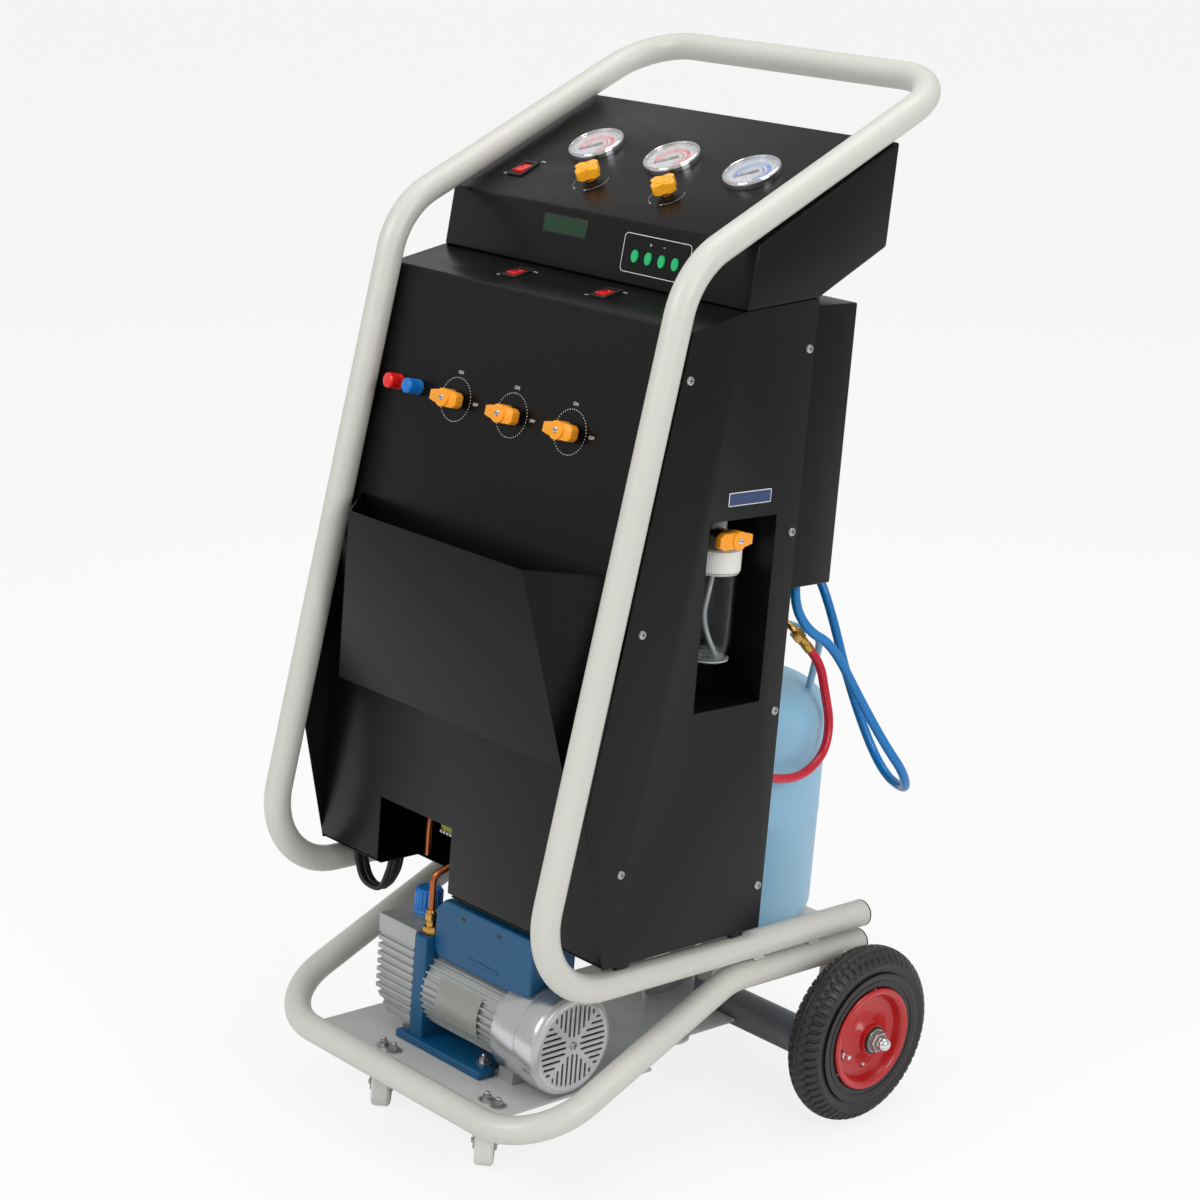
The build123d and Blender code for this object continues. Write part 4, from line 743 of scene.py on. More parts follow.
def tyreMesh(name, side, body, swap):
    axle = wheelAxle(side)
    bm = bmesh.new()
    rings = []
    total = wheel["lugs"] * wheel["stepsPerLug"]
    for j in range(total):
        turn = 2 * math.pi * j / total
        ring = []
        for x, radius in tyreSection():
            r = radius - treadCut(x, radius, j / wheel["stepsPerLug"])
            place = (side * wheel["centreX"] + x, r * math.cos(turn), r * math.sin(turn))
            ring.append(bm.verts.new(place))
        rings.append(ring)
    for j in range(total):
        low, high = rings[j], rings[(j + 1) % total]
        for k in range(wheel["stepsAcross"]):
            bm.faces.new((low[k], low[k + 1], high[k + 1], high[k]))
    for height in (20.4, 21.6):
        addLathe(bm, [(69.0, height - 2.5), (69.6, height + 0.9), (71.2, height + 0.9),
                      (71.8, height - 2.5)], sides=96, matrix=axle)
    wall = [(62.2, 15), (62.2, 20), (64.5, 21.8), (67, 22.0), (70, 21.4), (74, 22.4), (77.5, 23.4),
            (80.0, 22.6)]
    for way in (1, -1):
        addLathe(bm, [(radius, way * height) for radius, height in wall], sides=96, matrix=axle)
    build(name, bm, tyreRubber, body, angle=50, swaps=(swap,))


rimDish = [
    (17.0, 26.5), (18.2, 26.2), (18.6, 20.0), (22, 16.0), (27, 12.0), (33, 9.8), (40, 9.0), (46, 9.6),
    (49.6, 12.0), (51.4, 16.0), (52.4, 20.0), (54.0, 23.2), (56.5, 25.0), (59.5, 25.4), (61.6, 24.4),
    (62.4, 22.4), (61.4, 20.6), (57, 19.4), (55.4, 17), (55.0, 8), (55.0, -17), (57, -19.4),
    (61.4, -20.6), (62.4, -22.4), (61.6, -24.4), (59.5, -25.4), (56.5, -25.0), (54.0, -23.2),
    (52.0, -18.0), (51.0, -10.0), (50.4, 2.0), (48, 5.4), (40, 5.6), (27, 7.0), (20, 4.0),
    (17.4, -6.0), (17.0, -26.5), (8.1, -26.5), (8.1, 26.5),
]


def rimMesh(name, side, body, swap):
    axle = wheelAxle(side)

    def onDish(degrees):
        a = math.radians(degrees)
        circle = wheel["holeCircle"]
        return axle @ Matrix.Translation((circle * math.cos(a), circle * math.sin(a), 9.2))

    turned(name, rimRed, rimDish, sides=96, matrix=axle, closed=True, body=body, swaps=(swap,),
           angle=32)
    bm = bmesh.new()
    for degrees, radius in ((wheel["valveAngle"], 6.4), (wheel["screwAngle"], 3.4)):
        addLathe(bm, [(0, 0.3), (radius, 0.3), (radius + 0.6, 0.0)], sides=28, matrix=onDish(degrees))
    build(name + "Holes", bm, blackRubber, body)
    bm = bmesh.new()
    addLathe(bm, wheel["valve"], sides=24, matrix=onDish(wheel["valveAngle"]))
    addLathe(bm, wheel["screw"], sides=20, matrix=onDish(wheel["screwAngle"]))
    build(name + "Valve", bm, chrome, body)


for side, body, tail in ((1, "right_wheel", "right"), (-1, "left_wheel", "left")):
    tyreMesh("tyre" + tail.title(), side, body, "tyre_" + tail)
    rimMesh("rim" + tail.title(), side, body, "rim_" + tail)

# Axle stubs with a rubber washer, a zinc washer, two hexagon nuts and a domed nut. Profiles are
# (radius, distance from the wheel's middle).
axleEnd = {
    "stub": [(8, -71), (8, -40.2), (12.5, -40.2), (12.5, -27.3), (8, -27.3), (8, 27.3)],
    "rubber": [(8, 27.05), (16.5, 27.05), (17, 27.5), (17, 28.1), (16.5, 28.5), (8, 28.5)],
    "washer": [(8, 28.5), (14.2, 28.5), (14.5, 28.8), (14.5, 29.6), (14.2, 29.9), (8, 29.9)],
    "nut": (22.5, 29.9, 36.2),
    "lockNut": (17.5, 36.2, 40.5),
    "dome": [(8.2, 40.3), (8.6, 41.2), (8.4, 43.0), (7.4, 45.6), (5.6, 47.8), (3.0, 49.2), (0, 49.6)],
}
bm = bmesh.new()
rubber = bmesh.new()
dome = bmesh.new()
for side in (-1, 1):
    axle = wheelAxle(side)
    addLathe(bm, axleEnd["stub"], sides=32, matrix=axle)
    addLathe(rubber, axleEnd["rubber"], sides=48, matrix=axle)
    addLathe(bm, axleEnd["washer"], sides=48, matrix=axle)
    for nut, bevel in (("nut", 0.7), ("lockNut", 0.6)):
        across, low, high = axleEnd[nut]
        addPrism(bm, hexOutline(across), low, high, bevel=bevel, matrix=axle)
    addLathe(dome, axleEnd["dome"], sides=40, matrix=axle)
build("axleHardware", bm, zinc, swaps=("axle_hardware",))
build("axleRubberWashers", rubber, blackRubber)
build("axleDomeNuts", dome, chrome)
print("wheels are ready")


# Pieces that keep their CAD form, with their edges rounded. With places, each part of the piece
# grows by that factor in the plane of the nearest place.
def roundedCopy(nodeName, width, mat, body="cart", angle=28, places=(), grow=1.0):
    bm = cadCopy(nodeName)
    least = math.radians(22)
    edges = [edge for edge in bm.edges if edge.is_manifold and edge.calc_face_angle(0.0) > least]
    roundEdges(bm, edges, width, 2)
    bmesh.ops.transform(bm, matrix=stance.inverted(), verts=bm.verts)
    for vert in bm.verts if places else ():
        here = min(places, key=lambda place: (place.translation - vert.co).length)
        spot = here.inverted() @ vert.co
        vert.co = here @ Vector((spot.x * grow, spot.y * grow, spot.z))
    build(nodeName + "Round", bm, mat, body, swaps=(nodeName,), angle=angle)


# Gauges: a chrome bezel, a white dial with its band, ticks and numbers
dialInks = {
    "dialWhite": ((206, 207, 210), 0.02),
    "dialPink": ((232, 132, 130), 0.03),
    "dialRed": ((206, 44, 44), 0.03),
    "dialBlue": ((120, 152, 214), 0.03),
    "dialDeepBlue": ((58, 84, 170), 0.03),
    "dialInk": ((30, 30, 32), 0.02),
}
dials = {name: finish(name, linear(*colour), 0.5, grain=900, bump=0.02, mottle=mottle)
         for name, (colour, mottle) in dialInks.items()}


def addBand(bm, matrix, inner, outer, start, stop, high, steps=48):
    # A flat printed arc between two radii.
    points = []
    for k in range(steps + 1):
        a = math.radians(start + (stop - start) * k / steps)
        points.append((outer * math.cos(a), outer * math.sin(a)))
    for k in range(steps, -1, -1):
        a = math.radians(start + (stop - start) * k / steps)
        points.append((inner * math.cos(a), inner * math.sin(a)))
    for k in range(steps):
        quad = [points[k], points[k + 1], points[-2 - k], points[-1 - k]]
        ring = [bm.verts.new(matrix @ Vector((x, y, high))) for x, y in quad]
        bm.faces.new(ring)


gauge = {
    "up": 124.5,              # distance up the console's face
    "bezel": [(0, -32), (29.5, -32), (30, -31.5), (30, 0.0), (33.6, 0.0), (34.0, 0.4), (34.0, 5.6),
              (33.6, 7.4), (32.6, 8.6), (31.6, 9.0), (30.8, 8.7), (30.5, 8.0), (30.5, 2.7), (0, 2.7)],
    "dial": [(30.4, 2.4), (30.4, 3.0), (0, 3.0)],
    "inkFloor": 3.06,
    "start": 225,             # degrees of the first tick
    "sweep": 270,
    "ticks": 50,
    "tickEnd": 28.4,
    "numberCircle": 20.0,
    "numberHeight": 4.6,
}
gaugeParts = [
    ("gaugeLeft", -126.5, "dialPink", "dialRed", (0, 4, 8, 12, 16, 20)),
    ("gaugeMiddle", 0.0, "dialPink", "dialRed", (0, 10, 20, 30, 40, 50)),
    ("gaugeRight", 126.5, "dialBlue", "dialDeepBlue", (0, 2, 4, 6, 8, 10)),
]
bezels = bmesh.new()
for name, x, band, deep, numbers in gaugeParts:
    here = consoleMatrix(x, gauge["up"])
    addLathe(bezels, gauge["bezel"], sides=96, matrix=here)
    dial = bmesh.new()
    addLathe(dial, gauge["dial"], sides=72, matrix=here)
    build(name + "Dial", dial, dials["dialWhite"])
    ring = bmesh.new()
    addBand(ring, here, 17.0, 22.0, -45, 225, gauge["inkFloor"])
    build(name + "Band", ring, dials[band])
    ring = bmesh.new()
    addBand(ring, here, 25.6, 27.6, -45, 40, gauge["inkFloor"])
    addBand(ring, here, 12.4, 14.0, -45, 225, gauge["inkFloor"])
    build(name + "DeepBand", ring, dials[deep])
    ink = []
    for k in range(gauge["ticks"] + 1):
        a = math.radians(gauge["start"] - gauge["sweep"] * k / gauge["ticks"])
        far, wide = (4.4, 0.5) if k % 10 == 0 else ((3.2, 0.34) if k % 5 == 0 else (2.0, 0.24))
        outward = Matrix.Translation((gauge["tickEnd"] - far / 2, 0, 0))
        bar = [(-far / 2, -wide / 2), (far / 2, -wide / 2), (far / 2, wide / 2), (-far / 2, wide / 2)]
        ink.append((here @ Matrix.Rotation(a, 4, "Z") @ outward, bar, 3.04, 3.12))
    printed(name + "Ticks", ink, dials["dialInk"])
    words = []
    for k, value in enumerate(numbers):
        a = math.radians(gauge["start"] - gauge["sweep"] * k / 5)
        circle = gauge["numberCircle"]
        spot = Matrix.Translation((circle * math.cos(a), circle * math.sin(a), 3.05))
        words.append((here @ spot, str(value), gauge["numberHeight"]))
    lettering(name + "Numbers", words, dials["dialInk"])
build("gaugeBezels", bezels, chrome, swaps=("gauge_cases",))

# Console knobs on their stems, with the arcs around them
knobOrange = finish("knobOrange", linear(255, 176, 24), 0.28, grain=500, bump=0.04, mottle=0.03,
                    coat=0.3)
knob = {
    "up": 58.0,
    "reach": 16.6,
    "waist": 10.6,
    "low": 8.0,
    "high": 19.6,
    "crown": [(8.2, 19.4), (8.2, 20.6), (7.4, 21.3), (4.8, 21.3), (4.4, 20.6), (0, 20.6)],
    "stem": [(7.0, 8.2), (7.0, 5.4), (5.6, 4.4), (3.9, 4.4), (3.9, -8.8), (0, -8.8)],
    "arcRadius": 21.0,
    "arcSpans": ((-62, 38), (150, 245)),
    "dashes": 14,
}
inkLow, inkHigh = 0.02, 0.08


def knobOutline(reach, waist, steps=96):
    points = []
    for k in range(steps):
        a = 2 * math.pi * k / steps
        lobe = 0.5 + 0.5 * math.cos(4 * a)
        r = waist + (reach - waist) * lobe ** 0.7
        points.append((r * math.cos(a), r * math.sin(a)))
    return points


arcs = []
for name, node, x in (("knobLeft", "console_knob_left", -70.5),
                      ("knobRight", "console_knob_right", 54.0)):
    here = consoleMatrix(x, knob["up"])
    bm = bmesh.new()
    addPrism(bm, knobOutline(knob["reach"], knob["waist"]), knob["low"], knob["high"], bevel=1.2,
             matrix=here, steps=3)
    addLathe(bm, knob["crown"], sides=40, matrix=here)
    addLathe(bm, knob["stem"], sides=32, matrix=here)
    build(name, bm, knobOrange, node + "_body", swaps=(node,))
    raised(name + "Nut", brass, hexOutline(12.0), 0.05, 3.4, bevel=0.5, matrix=here)

    def onArc(degrees):
        outward = Matrix.Translation((knob["arcRadius"], 0, 0))
        return here @ Matrix.Rotation(math.radians(degrees), 4, "Z") @ outward

    for start, stop in knob["arcSpans"]:
        for k in range(knob["dashes"]):
            dash = onArc(start + (stop - start) * k / (knob["dashes"] - 1))
            arcs.append((dash, [(-0.22, -0.75), (0.22, -0.75), (0.22, 0.75), (-0.22, 0.75)],
                         inkLow, inkHigh))
    arcs.append((onArc(-62), [(-1.3, 0), (1.3, 0), (0, -3.0)], inkLow, inkHigh))
    arcs.append((onArc(245), [(-1.3, 0), (0, 3.0), (1.3, 0)], inkLow, inkHigh))

# Valve handles with their screws, and the dotted rings on the front
handles = {
    "down": 135.0,            # distance down the slanted front
    "places": (("valve_handle_left", -92.0), ("valve_handle_middle", 4.0),
               ("valve_handle_right", 100.0)),
    "screw": [(3.4, 21.6), (3.4, 22.6), (2.8, 23.4), (0, 23.6)],
    "dots": 44,
    "ringRadius": 25.0,
    "dotRadius": 0.62,
}
for node, x in handles["places"]:
    roundedCopy(node, 0.9, orange, node + "_body")
    here = frontMatrix(x, handles["down"])
    turned(node + "Screw", chrome, handles["screw"], sides=24, matrix=here, body=node + "_body")
    boxed(node + "Slot", blackPlastic, (0, 0, 23.62), (5.0, 0.9, 0.3), matrix=here, body=node + "_body")
    raised(node + "Nut", brass, hexOutline(15.0), 0.05, 4.6, bevel=0.6, matrix=here)
    for x, y in circleOutline(handles["ringRadius"], handles["dots"]):
        arcs.append((here @ Matrix.Translation((x, y, 0)), circleOutline(handles["dotRadius"], 8),
                     inkLow, inkHigh))
printed("panelMarks", arcs, whiteInkAndHighlight)

# Printed words, as (place, text, height)
words = []
for node, x in handles["places"]:
    words.append((frontMatrix(x, handles["down"] - 31.0), "ON", 5.4))
    words.append((frontMatrix(x + 34.5, handles["down"]), "OFF", 5.0))
for matrix in (consoleMatrix(-172.0, 77.5), shelfMatrix(-63.5, 57.5), shelfMatrix(84.0, 57.5)):
    words.append((matrix, "ON", 4.2))
for matrix in (consoleMatrix(-202.0, 43.0), shelfMatrix(-95.5, 30.5), shelfMatrix(52.0, 30.5)):
    words.append((matrix, "OFF", 4.2))
words.append((displayMatrix(91.0, 47.5), "+", 7.0))
words.append((displayMatrix(112.0, 47.5), "−", 7.0))
lettering("panelWords", words, whiteInkAndHighlight)

# Service ports: ribbed caps over brass nuts
port = {
    "down": 133.0,
    "collar": [(9.0, 2.4), (9.0, 6.2), (8.4, 6.8), (5.7, 6.8), (5.7, 2.4)],
    "top": [(7.6, 20.4), (7.4, 21.4), (6.4, 21.9), (0, 21.9)],
}
capOutline = ribbedOutline(96, lambda k, a: math.cos(24 * a) > 0, 8.9, 8.3)
for name, x, mat, swaps in (("portCapLeft", -190.0, redPlastic, ("port_caps",)),
                            ("portCapRight", -156.0, bluePlastic, ())):
    here = frontMatrix(x, port["down"])
    bm = bmesh.new()
    addPrism(bm, capOutline, 6.5, 20.6, bevel=0.6, matrix=here)
    addLathe(bm, port["collar"], sides=64, matrix=here, closed=True)
    addLathe(bm, port["top"], sides=48, matrix=here)
    build(name, bm, mat, swaps=swaps)
    raised(name + "Nut", brass, hexOutline(15.5), 0.05, 2.3, bevel=0.4, matrix=here)

# Display window, keypad frame and the bare plate over the niche. Plates are (width, height,
# corner radius, low, high).
lcdGreen = finish("lcdGreen", linear(10, 58, 30), 0.16, grain=300, bump=0.0, mottle=0.25, spread=0.04)
plateBlue = finish("plateBlue", linear(40, 62, 104), 0.45, grain=700, bump=0.03, mottle=0.05)
display = displayMatrix(-49.0, 49.5)
nichePlate = sideMatrix(-222.7, 659.5)
plates = {
    "displayRim": (display, (72.5, 21.5, 1.6), 0.02, 0.5, 0.2, blackPlastic),
    "displayWindow": (display, (68.0, 17.5, 0.8), 0.45, 0.62, 0.0, lcdGreen),
    "sidePlateRim": (nichePlate, (65.5, 15.0, 1.2), 0.02, 0.5, 0.15, whiteInkAndHighlight),
    "sidePlate": (nichePlate, (63.6, 13.2, 0.8), 0.48, 0.62, 0.0, plateBlue),
}
for name, (place, shape, low, high, bevel, mat) in plates.items():
    raised(name, mat, roundedOutline(*shape), low, high, bevel=bevel, matrix=place)
pad = displayMatrix(101.3, 35.4)
outerLine = roundedOutline(105.4, 43.2, 5.5)
innerLine = roundedOutline(103.8, 41.6, 4.7)
bm = bmesh.new()
count = len(outerLine)
for k in range(count):
    n = (k + 1) % count
    quad = [outerLine[k], outerLine[n], innerLine[n], innerLine[k]]
    bm.faces.new([bm.verts.new(pad @ Vector((x, y, 0.06))) for x, y in quad])
build("keypadFrame", bm, whiteInkAndHighlight)

# Rocker switches keep their CAD form, larger in plan. A small white bar on one end of each rocker is a
# painted highlight.
rockers = {
    "rocker_console": consoleMatrix(-186.0, 57.0),
    "rocker_shelf_left": shelfMatrix(-80.0, 45.0),
    "rocker_shelf_right": shelfMatrix(67.5, 45.0),
}
rockerGrowth = 1.28
highlightPlace = Matrix.Translation((0, 4.4, 1.66)) @ Matrix.Rotation(math.radians(-9.1), 4, "X")
for node, matrix in rockers.items():
    roundedCopy(node, 0.45, redPlastic, node + "_body", places=(matrix,), grow=rockerGrowth)
    # The white bar is a painted highlight, where light falls on the rocker.
    raised(node + "Mark", whiteInkAndHighlight, [(-0.4, -1.3), (0.4, -1.3), (0.4, 1.3), (-0.4, 1.3)], 0, 0.08,
           matrix=matrix @ highlightPlace, body=node + "_body")
roundedCopy("switch_bezels", 0.4, blackPlastic, places=tuple(rockers.values()), grow=rockerGrowth)


# Pan-head screws in the sides, as (y, z)
sideScrew = {
    "head": [(5.2, 0.02), (5.2, 0.5), (5.2 * 0.86, 2.6 * 0.7), (5.2 * 0.5, 2.6 * 0.95), (0, 2.6)],
    "slot": (4.6, 0.9, 0.5),
    "slotHeight": 2.52,
    "places": [(-330.4, 794), (-369.4, 524), (-371.3, 255), (-151, 818), (-151, 614), (-151, 408),
               (-151, 200)],
}
bm = bmesh.new()
slots = bmesh.new()
for side in (-1, 1):
    for k, (y, z) in enumerate(sideScrew["places"]):
        here = sideMatrix(y, z, 0.0, side) @ Matrix.Rotation(0.9 * k, 4, "Z")
        addLathe(bm, sideScrew["head"], sides=28, matrix=here)
        for turn in (0, math.pi / 2):
            addBox(slots, (0, 0, sideScrew["slotHeight"]), sideScrew["slot"],
                   matrix=here @ Matrix.Rotation(turn, 4, "Z"))
build("sideScrews", bm, zinc)
build("sideScrewSlots", slots, blackPlastic)
print("console is ready")

# Vacuum pump
pump = {
    "middle": (0, -350, 23),  # the motor's axis runs along X through it
    "topFrontY": -384.02,
    "notchX": (14.3, 76.8),
    "fillerPlace": (-88, -350, 0),
    "fillerBase": [(10, 95.0), (17.0, 95.2), (17.2, 96.0), (17.2, 99.5), (16.6, 100.4), (16.0, 101.5)],
    "fillerTop": [(15.6, 123.5), (15.2, 126.0), (14.0, 127.0), (11.8, 127.0), (11.2, 126.0),
                  (0, 126.0)],
    "nutPlace": (-46, -381, 0),
    "nutSeat": [(7.4, 87.5), (7.4, 89.6), (0, 89.6)],
    "nutNeck": [(5.8, 98.5), (5.8, 103), (6.6, 103.5), (6.6, 105), (5.8, 105.6), (5.8, 107.5)],
    "nutTop": [(6.6, 115.6), (5.2, 119.2), (4.2, 119.6), (0, 119.6)],
    "pipe": [(-46, -381, 113), (-46, -381, 161), (-22, -321, 196)],
    "cowl": [(57.9, 100), (58.2, 100.6), (58.2, 138.6), (57.0, 139.4), (57.0, 141.4), (60.0, 142.0),
             (60.3, 143.2), (60.3, 166.6), (59.6, 169.8), (57.8, 172.9), (55.0, 175.0),
             (51.4, 176.15), (50.6, 176.1)],
    "cowlScrew": [(0, 179.2), (2.2, 179.0), (4.4, 177.8), (5.2, 176.1)],
}
roundedCopy("pump_oil_case", 0.7, castMetal)
roundedCopy("pump_top", 0.8, pumpBlue, angle=40)
topFront = planeMatrix((0, pump["topFrontY"], 0), (1, 0, 0), (0, -1, 0))
bm = bmesh.new()
for x in pump["notchX"]:
    addPrism(bm, roundedOutline(7.5, 4.4, 1.6), -0.6, 0.15,
             matrix=topFront @ Matrix.Translation((x, 127.5, 0)))
build("topNotches", bm, blackPlastic)
raised("topRib", pumpBlue, roundedOutline(54.0, 5.0, 2.2), 0.02, 0.7, bevel=0.3,
       matrix=topFront @ Matrix.Translation((52, 82.5, 0)))
bm = bmesh.new()
filler = Matrix.Translation(pump["fillerPlace"])
fillerOutline = ribbedOutline(120, lambda k, a: math.cos(20 * a) > -0.2, 17.0, 15.9)
addPrism(bm, fillerOutline, 101.0, 124.0, bevel=0.8, matrix=filler)
addLathe(bm, pump["fillerBase"], sides=60, matrix=filler)
addLathe(bm, pump["fillerTop"], sides=60, matrix=filler)
build("fillerCap", bm, bluePlastic, swaps=("pump_filler_cap",))

nuts = Matrix.Translation(pump["nutPlace"])
bm = bmesh.new()
addPrism(bm, hexOutline(15.6), 89.2, 99.0, bevel=0.8, matrix=nuts)
addLathe(bm, pump["nutNeck"], sides=32, matrix=nuts)
addPrism(bm, hexOutline(13.8), 107.0, 116.0, bevel=0.8, matrix=nuts @ Matrix.Rotation(0.35, 4, "Z"))
addLathe(bm, pump["nutTop"], sides=32, matrix=nuts)
addLathe(bm, pump["nutSeat"], sides=32, matrix=nuts)
build("pumpNuts", bm, brass, swaps=("pump_fitting",))
piped("pumpPipe", copper, filleted(pump["pipe"], [14], 16), 4.0, sides=24)

# A bare curved plate on the motor, where the real one has its sticker
motorPlate = {
    "radius": 51.0,
    "firstAngle": 147,
    "angleSpan": 56,
    "steps": 24,
    "x": (-6.0, 1.0, 30.0, 60.0, 67.0),
    "thickness": 0.5,
}
plateMetal = finish("plateMetal", linear(206, 206, 200), 0.34, metallic=0.35, grain=800, bump=0.04,
                    mottle=0.04)
middleY, middleZ = pump["middle"][1:]
bm = bmesh.new()
rows = []
for k in range(motorPlate["steps"] + 1):
    a = math.radians(motorPlate["firstAngle"] + motorPlate["angleSpan"] * k / motorPlate["steps"])
    y = middleY + motorPlate["radius"] * math.cos(a)
    z = middleZ + motorPlate["radius"] * math.sin(a)
    rows.append([bm.verts.new((x, y, z)) for x in motorPlate["x"]])
for low, high in zip(rows, rows[1:]):
    for k in range(len(motorPlate["x"]) - 1):
        bm.faces.new((low[k], low[k + 1], high[k + 1], high[k]))
bmesh.ops.solidify(bm, geom=bm.faces[:], thickness=motorPlate["thickness"])
build("motorPlate", bm, plateMetal)

# The cowl's polished skin and its middle screw
motorAxis = planeMatrix(pump["middle"], (0, 1, 0), (1, 0, 0))
polished = finish("polished", linear(206, 208, 210), 0.2, metallic=0.85, grain=500, bump=0.03,
                  mottle=0.03)
turned("cowlSkin", polished, pump["cowl"], sides=120, matrix=motorAxis)
turned("cowlScrew", zinc, pump["cowlScrew"], sides=32, matrix=motorAxis)
boxed("cowlScrewSlot", blackPlastic, (0, 0, 179.1), (1.0, 5.6, 0.8), matrix=motorAxis)

# Deck bolts with washers, as (x, y, z, turn)
boltAcross = 10.0
deckBolts = [
    (56.0, -375.1, -36.0, 0.3), (-72.0, -379.6, -36.0, 0.1), (-61.3, -427.5, -46.0, 0.5),
    (-41.6, -428.4, -46.0, 0.9), (120.1, -423.9, -46.0, 0.2), (138.9, -423.8, -46.0, 0.7),
]
washer = [(boltAcross * 0.95, 0.02), (boltAcross * 0.95, 1.1), (boltAcross * 0.85, 1.4), (0, 1.4)]
boltTip = [(boltAcross * 0.3, 6.2), (boltAcross * 0.3, 9.4), (boltAcross * 0.24, 10.2), (0, 10.2)]
bm = bmesh.new()
for x, y, z, turn in deckBolts:
    here = Matrix.Translation((x, y, z)) @ Matrix.Rotation(turn, 4, "Z")
    addLathe(bm, washer, sides=32, matrix=here)
    addPrism(bm, hexOutline(boltAcross), 1.4, 6.4, bevel=0.6, matrix=here)
    addLathe(bm, boltTip, sides=24, matrix=here)
build("deckBolts", bm, zinc)
print("pump is ready")

# Niche: a ribbed cap, the clear tube above it, the neck ring and a dip tube inside the bottle. The neck
# ring, which the bottle has, and a flat ring at its foot are drawn light grey: painted reflection of
# the bottle's whitish edges.
niche = {
    "bottle": (208.0, -225.0, 0),
    "capTop": [(27.6, 595.2), (26.4, 597.2), (24.6, 598.0), (0, 598.0)],
    "tube": [(9.8, 598.0), (9.8, 636.0)],
    "neckRing": [(26.5, 568.4), (27.6, 568.6), (28.0, 569.4), (27.6, 570.6), (26.5, 571.0)],
    "footReflectionRing": [(24.4, 469.5), (22.6, 468.9), (8.0, 469.4), (8.0, 470.2), (22.0, 470.4),
                 (24.6, 471.2)],
    "dip": [(208, -225, 572), (206, -228, 545), (203, -229, 520), (204, -224, 498),
            (207, -216, 480), (209, -211, 471)],
    "dipRadius": 2.6,
    "handle": (237.3, -231.5, 612.0),
    "handleScrew": [(3.4, 12.3), (3.4, 13.4), (2.8, 14.0), (0, 14.2)],
}
# Light grey for the clear tube and the dip tube; on the bottle's two rings the same light grey is
# painted reflection.
frostedAndReflection = finish("frostedAndReflection", linear(176, 178, 178), 0.25, grain=400, bump=0.03, mottle=0.12)
bottle = Matrix.Translation(niche["bottle"])
bm = bmesh.new()
addPrism(bm, ribbedOutline(180, lambda k, a: k % 3, 29.0, 28.4), 571.6, 596.0, bevel=0.9, matrix=bottle)
addLathe(bm, niche["capTop"], sides=72, matrix=bottle)
build("bottleCap", bm, whitePlastic, swaps=("oil_bottle_cap",))
turned("nicheTube", frostedAndReflection, niche["tube"], sides=40, matrix=bottle)
# Light rings at the neck and the foot: painted reflection on the clear bottle.
bm = bmesh.new()
addLathe(bm, niche["neckRing"], sides=72, matrix=bottle, closed=True)
addLathe(bm, niche["footReflectionRing"], sides=72, matrix=bottle, closed=True)
build("bottleRingReflections", bm, frostedAndReflection)


def smoothLine(points, steps=8):
    # A smooth line that passes through all the points.
    line = [Vector(p) for p in points]
    out = []
    for k in range(len(line) - 1):
        p0 = line[max(k - 1, 0)]
        p1, p2 = line[k], line[k + 1]
        p3 = line[min(k + 2, len(line) - 1)]
        for j in range(steps):
            t = j / steps
            out.append(0.5 * ((2 * p1) + (p2 - p0) * t + (2 * p0 - 5 * p1 + 4 * p2 - p3) * t * t
                              + (3 * p1 - p0 - 3 * p2 + p3) * t * t * t))
    out.append(line[-1])
    return out


piped("dipTube", frostedAndReflection, smoothLine(niche["dip"]), niche["dipRadius"], sides=16)
roundedCopy("niche_valve_handle", 0.8, orange, "niche_valve_handle_body")
nicheHandle = planeMatrix(niche["handle"], (0, -1, 0), (1, 0, 0))
turned("nicheHandleScrew", chrome, niche["handleScrew"], sides=24, matrix=nicheHandle,
       body="niche_valve_handle_body")
boxed("nicheHandleSlot", blackPlastic, (0, 0, 14.2), (5.0, 0.9, 0.3), matrix=nicheHandle,
      body="niche_valve_handle_body")


# Tank with its two guards, in cart millimetres. The profile's end points are on its axis.
def arcPoints(centre, radius, start, stop, steps):
    angles = [math.radians(start + (stop - start) * k / steps) for k in range(steps + 1)]
    return [(centre[0] + radius * math.cos(a), centre[1] + radius * math.sin(a)) for a in angles]


tank = {
    "y": 45,
    "foot": ((96, 82), 24),   # centre and radius of the rounding below
    "crown": ((78, 316), 42),
    "bead": [(120, 196), (120.5, 197), (120.5, 203), (120, 204)],
    "guardY": (-5, 95),
    "guard": ((-80, 349), (-93, 425), (93, 425), (80, 349)),
    "guardRadius": 4.5,
}
profile = [(0, 58.0)] + arcPoints(*tank["foot"], -90, 0, 8) + tank["bead"]
profile += arcPoints(*tank["crown"], 0, 90, 14) + [(0, 358)]
head = Matrix.Translation((0, tank["y"], 0))
bm = bmesh.new()
addLathe(bm, profile, sides=120, matrix=head)
for y in tank["guardY"]:
    guard = filleted([(x, y, z) for x, z in tank["guard"]], [14, 14], 10)
    addSweep(bm, guard, tank["guardRadius"], sides=20)
build("tankBody", bm, tankBlue, swaps=("tank",))

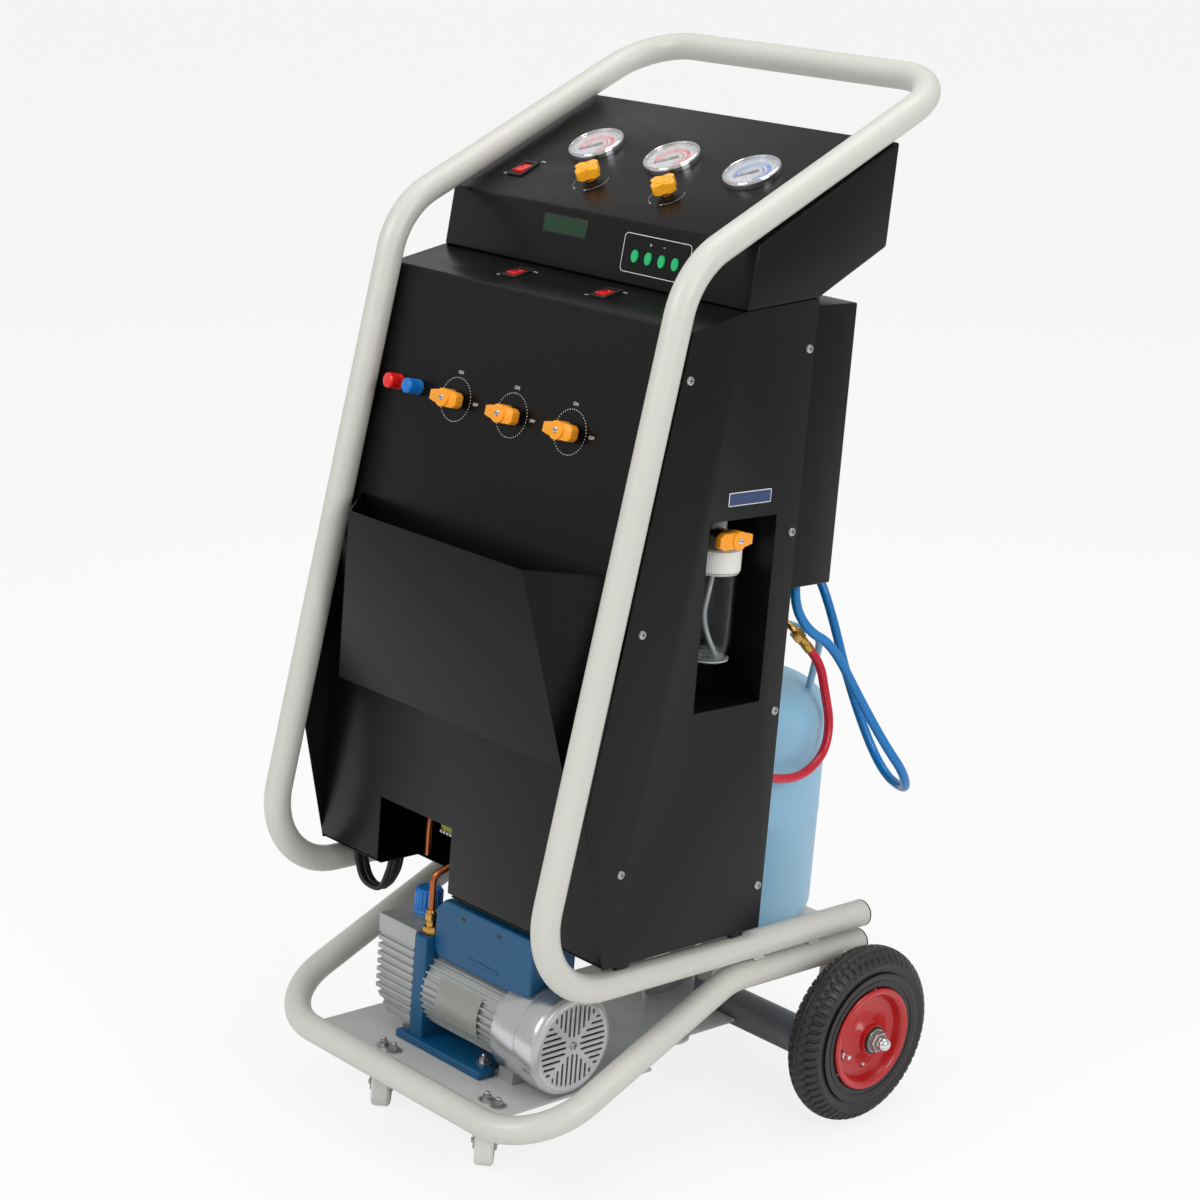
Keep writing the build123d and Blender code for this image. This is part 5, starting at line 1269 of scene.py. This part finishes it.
# The valve on the tank and its outlet, whose elbow points down at the red hose
outlet = {
    "corner": Vector((84, 45, 442)),
    "way": Vector((0.42, 0.53, -0.735)),
    "start": (8, 45, 442),
    "length": 42,
    "radius": 4.2,
    "column": [(16, 357.5), (16, 366), (13, 370), (12, 400), (14, 404), (14, 450), (0, 450)],
    "sleeve": [(4.2, 24), (6.3, 24.4), (6.3, 29.0), (5.8, 29.6), (5.8, 31.0), (6.4, 31.6),
               (6.4, 41.0), (6.0, 41.9), (4.0, 42.0)],
}
way = outlet["way"].normalized()
elbow = planeMatrix(outlet["corner"], (0, 1, 0), way)
route = [outlet["start"], outlet["corner"], outlet["corner"] + way * outlet["length"]]
bm = bmesh.new()
addLathe(bm, outlet["column"], sides=48, matrix=head)
addPrism(bm, circleOutline(16.0, 8), 450.0, 458.0, bevel=1.0, matrix=head)
addSweep(bm, filleted(route, [14], 12), outlet["radius"], sides=24)
addPrism(bm, hexOutline(13.8), 10.0, 24.0, bevel=0.8, matrix=elbow)
addLathe(bm, outlet["sleeve"], sides=32, matrix=elbow)
build("tankOutlet", bm, brass, swaps=("tank_valve",))


# Hoses. Their points are the same as in the CAD source, and their length is that of the curve.
hoseRadius = 5.6
hoses = {
    "blueHose": {
        "node": "blue_hose",
        "material": hoseBlue,
        "length": 0.844,
        "points": [
            (226, -110, 547.85), (226, -110, 522), (232, -88, 488), (236, -48, 468), (245, 0, 397),
            (260, 35, 341), (272, 62, 304), (246, 100, 268), (181, 125, 273), (138, 105, 366),
            (117, 80, 464), (95, 70, 512), (60, 60, 540), (20, 50, 532), (0, 45, 505), (0, 45, 458.15),
        ],
    },
    "redHose": {
        "node": "red_hose",
        "material": hoseRed,
        "length": 0.3564,
        "points": [
            (101.72, 67.37, 410.98), (110.14, 77.98, 396.26), (119, 82, 360), (125, 90, 322),
            (133, 76, 288), (138, 38, 268), (143, -10, 271), (147, -60, 288), (148, -100, 296),
            (148, -141.85, 296),
        ],
    },
}
for name, hose in hoses.items():
    curve = bpy.data.curves.new(name, "CURVE")
    curve.dimensions = "3D"
    spline = curve.splines.new("NURBS")
    spline.points.add(len(hose["points"]) - 1)
    for target, point in zip(spline.points, hose["points"]):
        target.co = (*(stance @ Vector(point)), 1.0)
    spline.order_u = 3
    spline.use_endpoint_u = True
    spline.resolution_u = 16
    curve.bevel_depth = hoseRadius / 1000
    curve.bevel_resolution = 6
    curve.use_fill_caps = True
    curve.materials.append(hose["material"])
    piece = bpy.data.objects.new(name, curve)
    bpy.context.collection.objects.link(piece)
    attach(piece, "cart")
    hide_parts(hose["node"])

# The tied hank of power cord under the housing, as four strands. Every other strand is inset.
hank = {
    "strandY": (-348.4, -353.4, -358.4, -362.2),
    "inset": 2.2,
    "radius": 3.3,
}
bm = bmesh.new()
for k, y in enumerate(hank["strandY"]):
    s = hank["inset"] * (k % 2)
    strand = [(-215 + s, y, 146), (-213 + s, y, 128), (-200, y - 1, 106 + s), (-184 - s, y, 98.4 + s),
              (-166, y + 1, 106 - s), (-150 - s, y, 128), (-145 - s, y, 146)]
    addSweep(bm, smoothLine(strand, 10), hank["radius"], sides=14)
build("cordHank", bm, blackRubber, swaps=("power_cord_hank",))

# What shows through the notch: a copper pipe and the taped end of the compressor's winding
notch = {
    "pipe": [(-128, -322, 150), (-128, -322, 190), (-127, -318, 230)],
    "winding": ((-84, -308, 206), (56, 26, 42)),
    "teeth": 9,
    "firstTooth": (-107, -321.4, 186),
    "toothPitch": 5.8,
    "toothSize": (3.6, 1.6, 3.4),
}
windingTape = finish("windingTape", linear(176, 178, 84), 0.5, grain=400, bump=0.2, mottle=0.12)
piped("notchPipe", copper, smoothLine(notch["pipe"], 6), 4.0, sides=20)
boxed("notchWinding", windingTape, *notch["winding"], bevel=6, steps=3)
toothX, toothY, toothZ = notch["firstTooth"]
bm = bmesh.new()
for k in range(notch["teeth"]):
    addBox(bm, (toothX + notch["toothPitch"] * k, toothY, toothZ), notch["toothSize"], bevel=0.5)
build("notchTeeth", bm, whitePlastic)
print("niche, tank and hoses are ready")
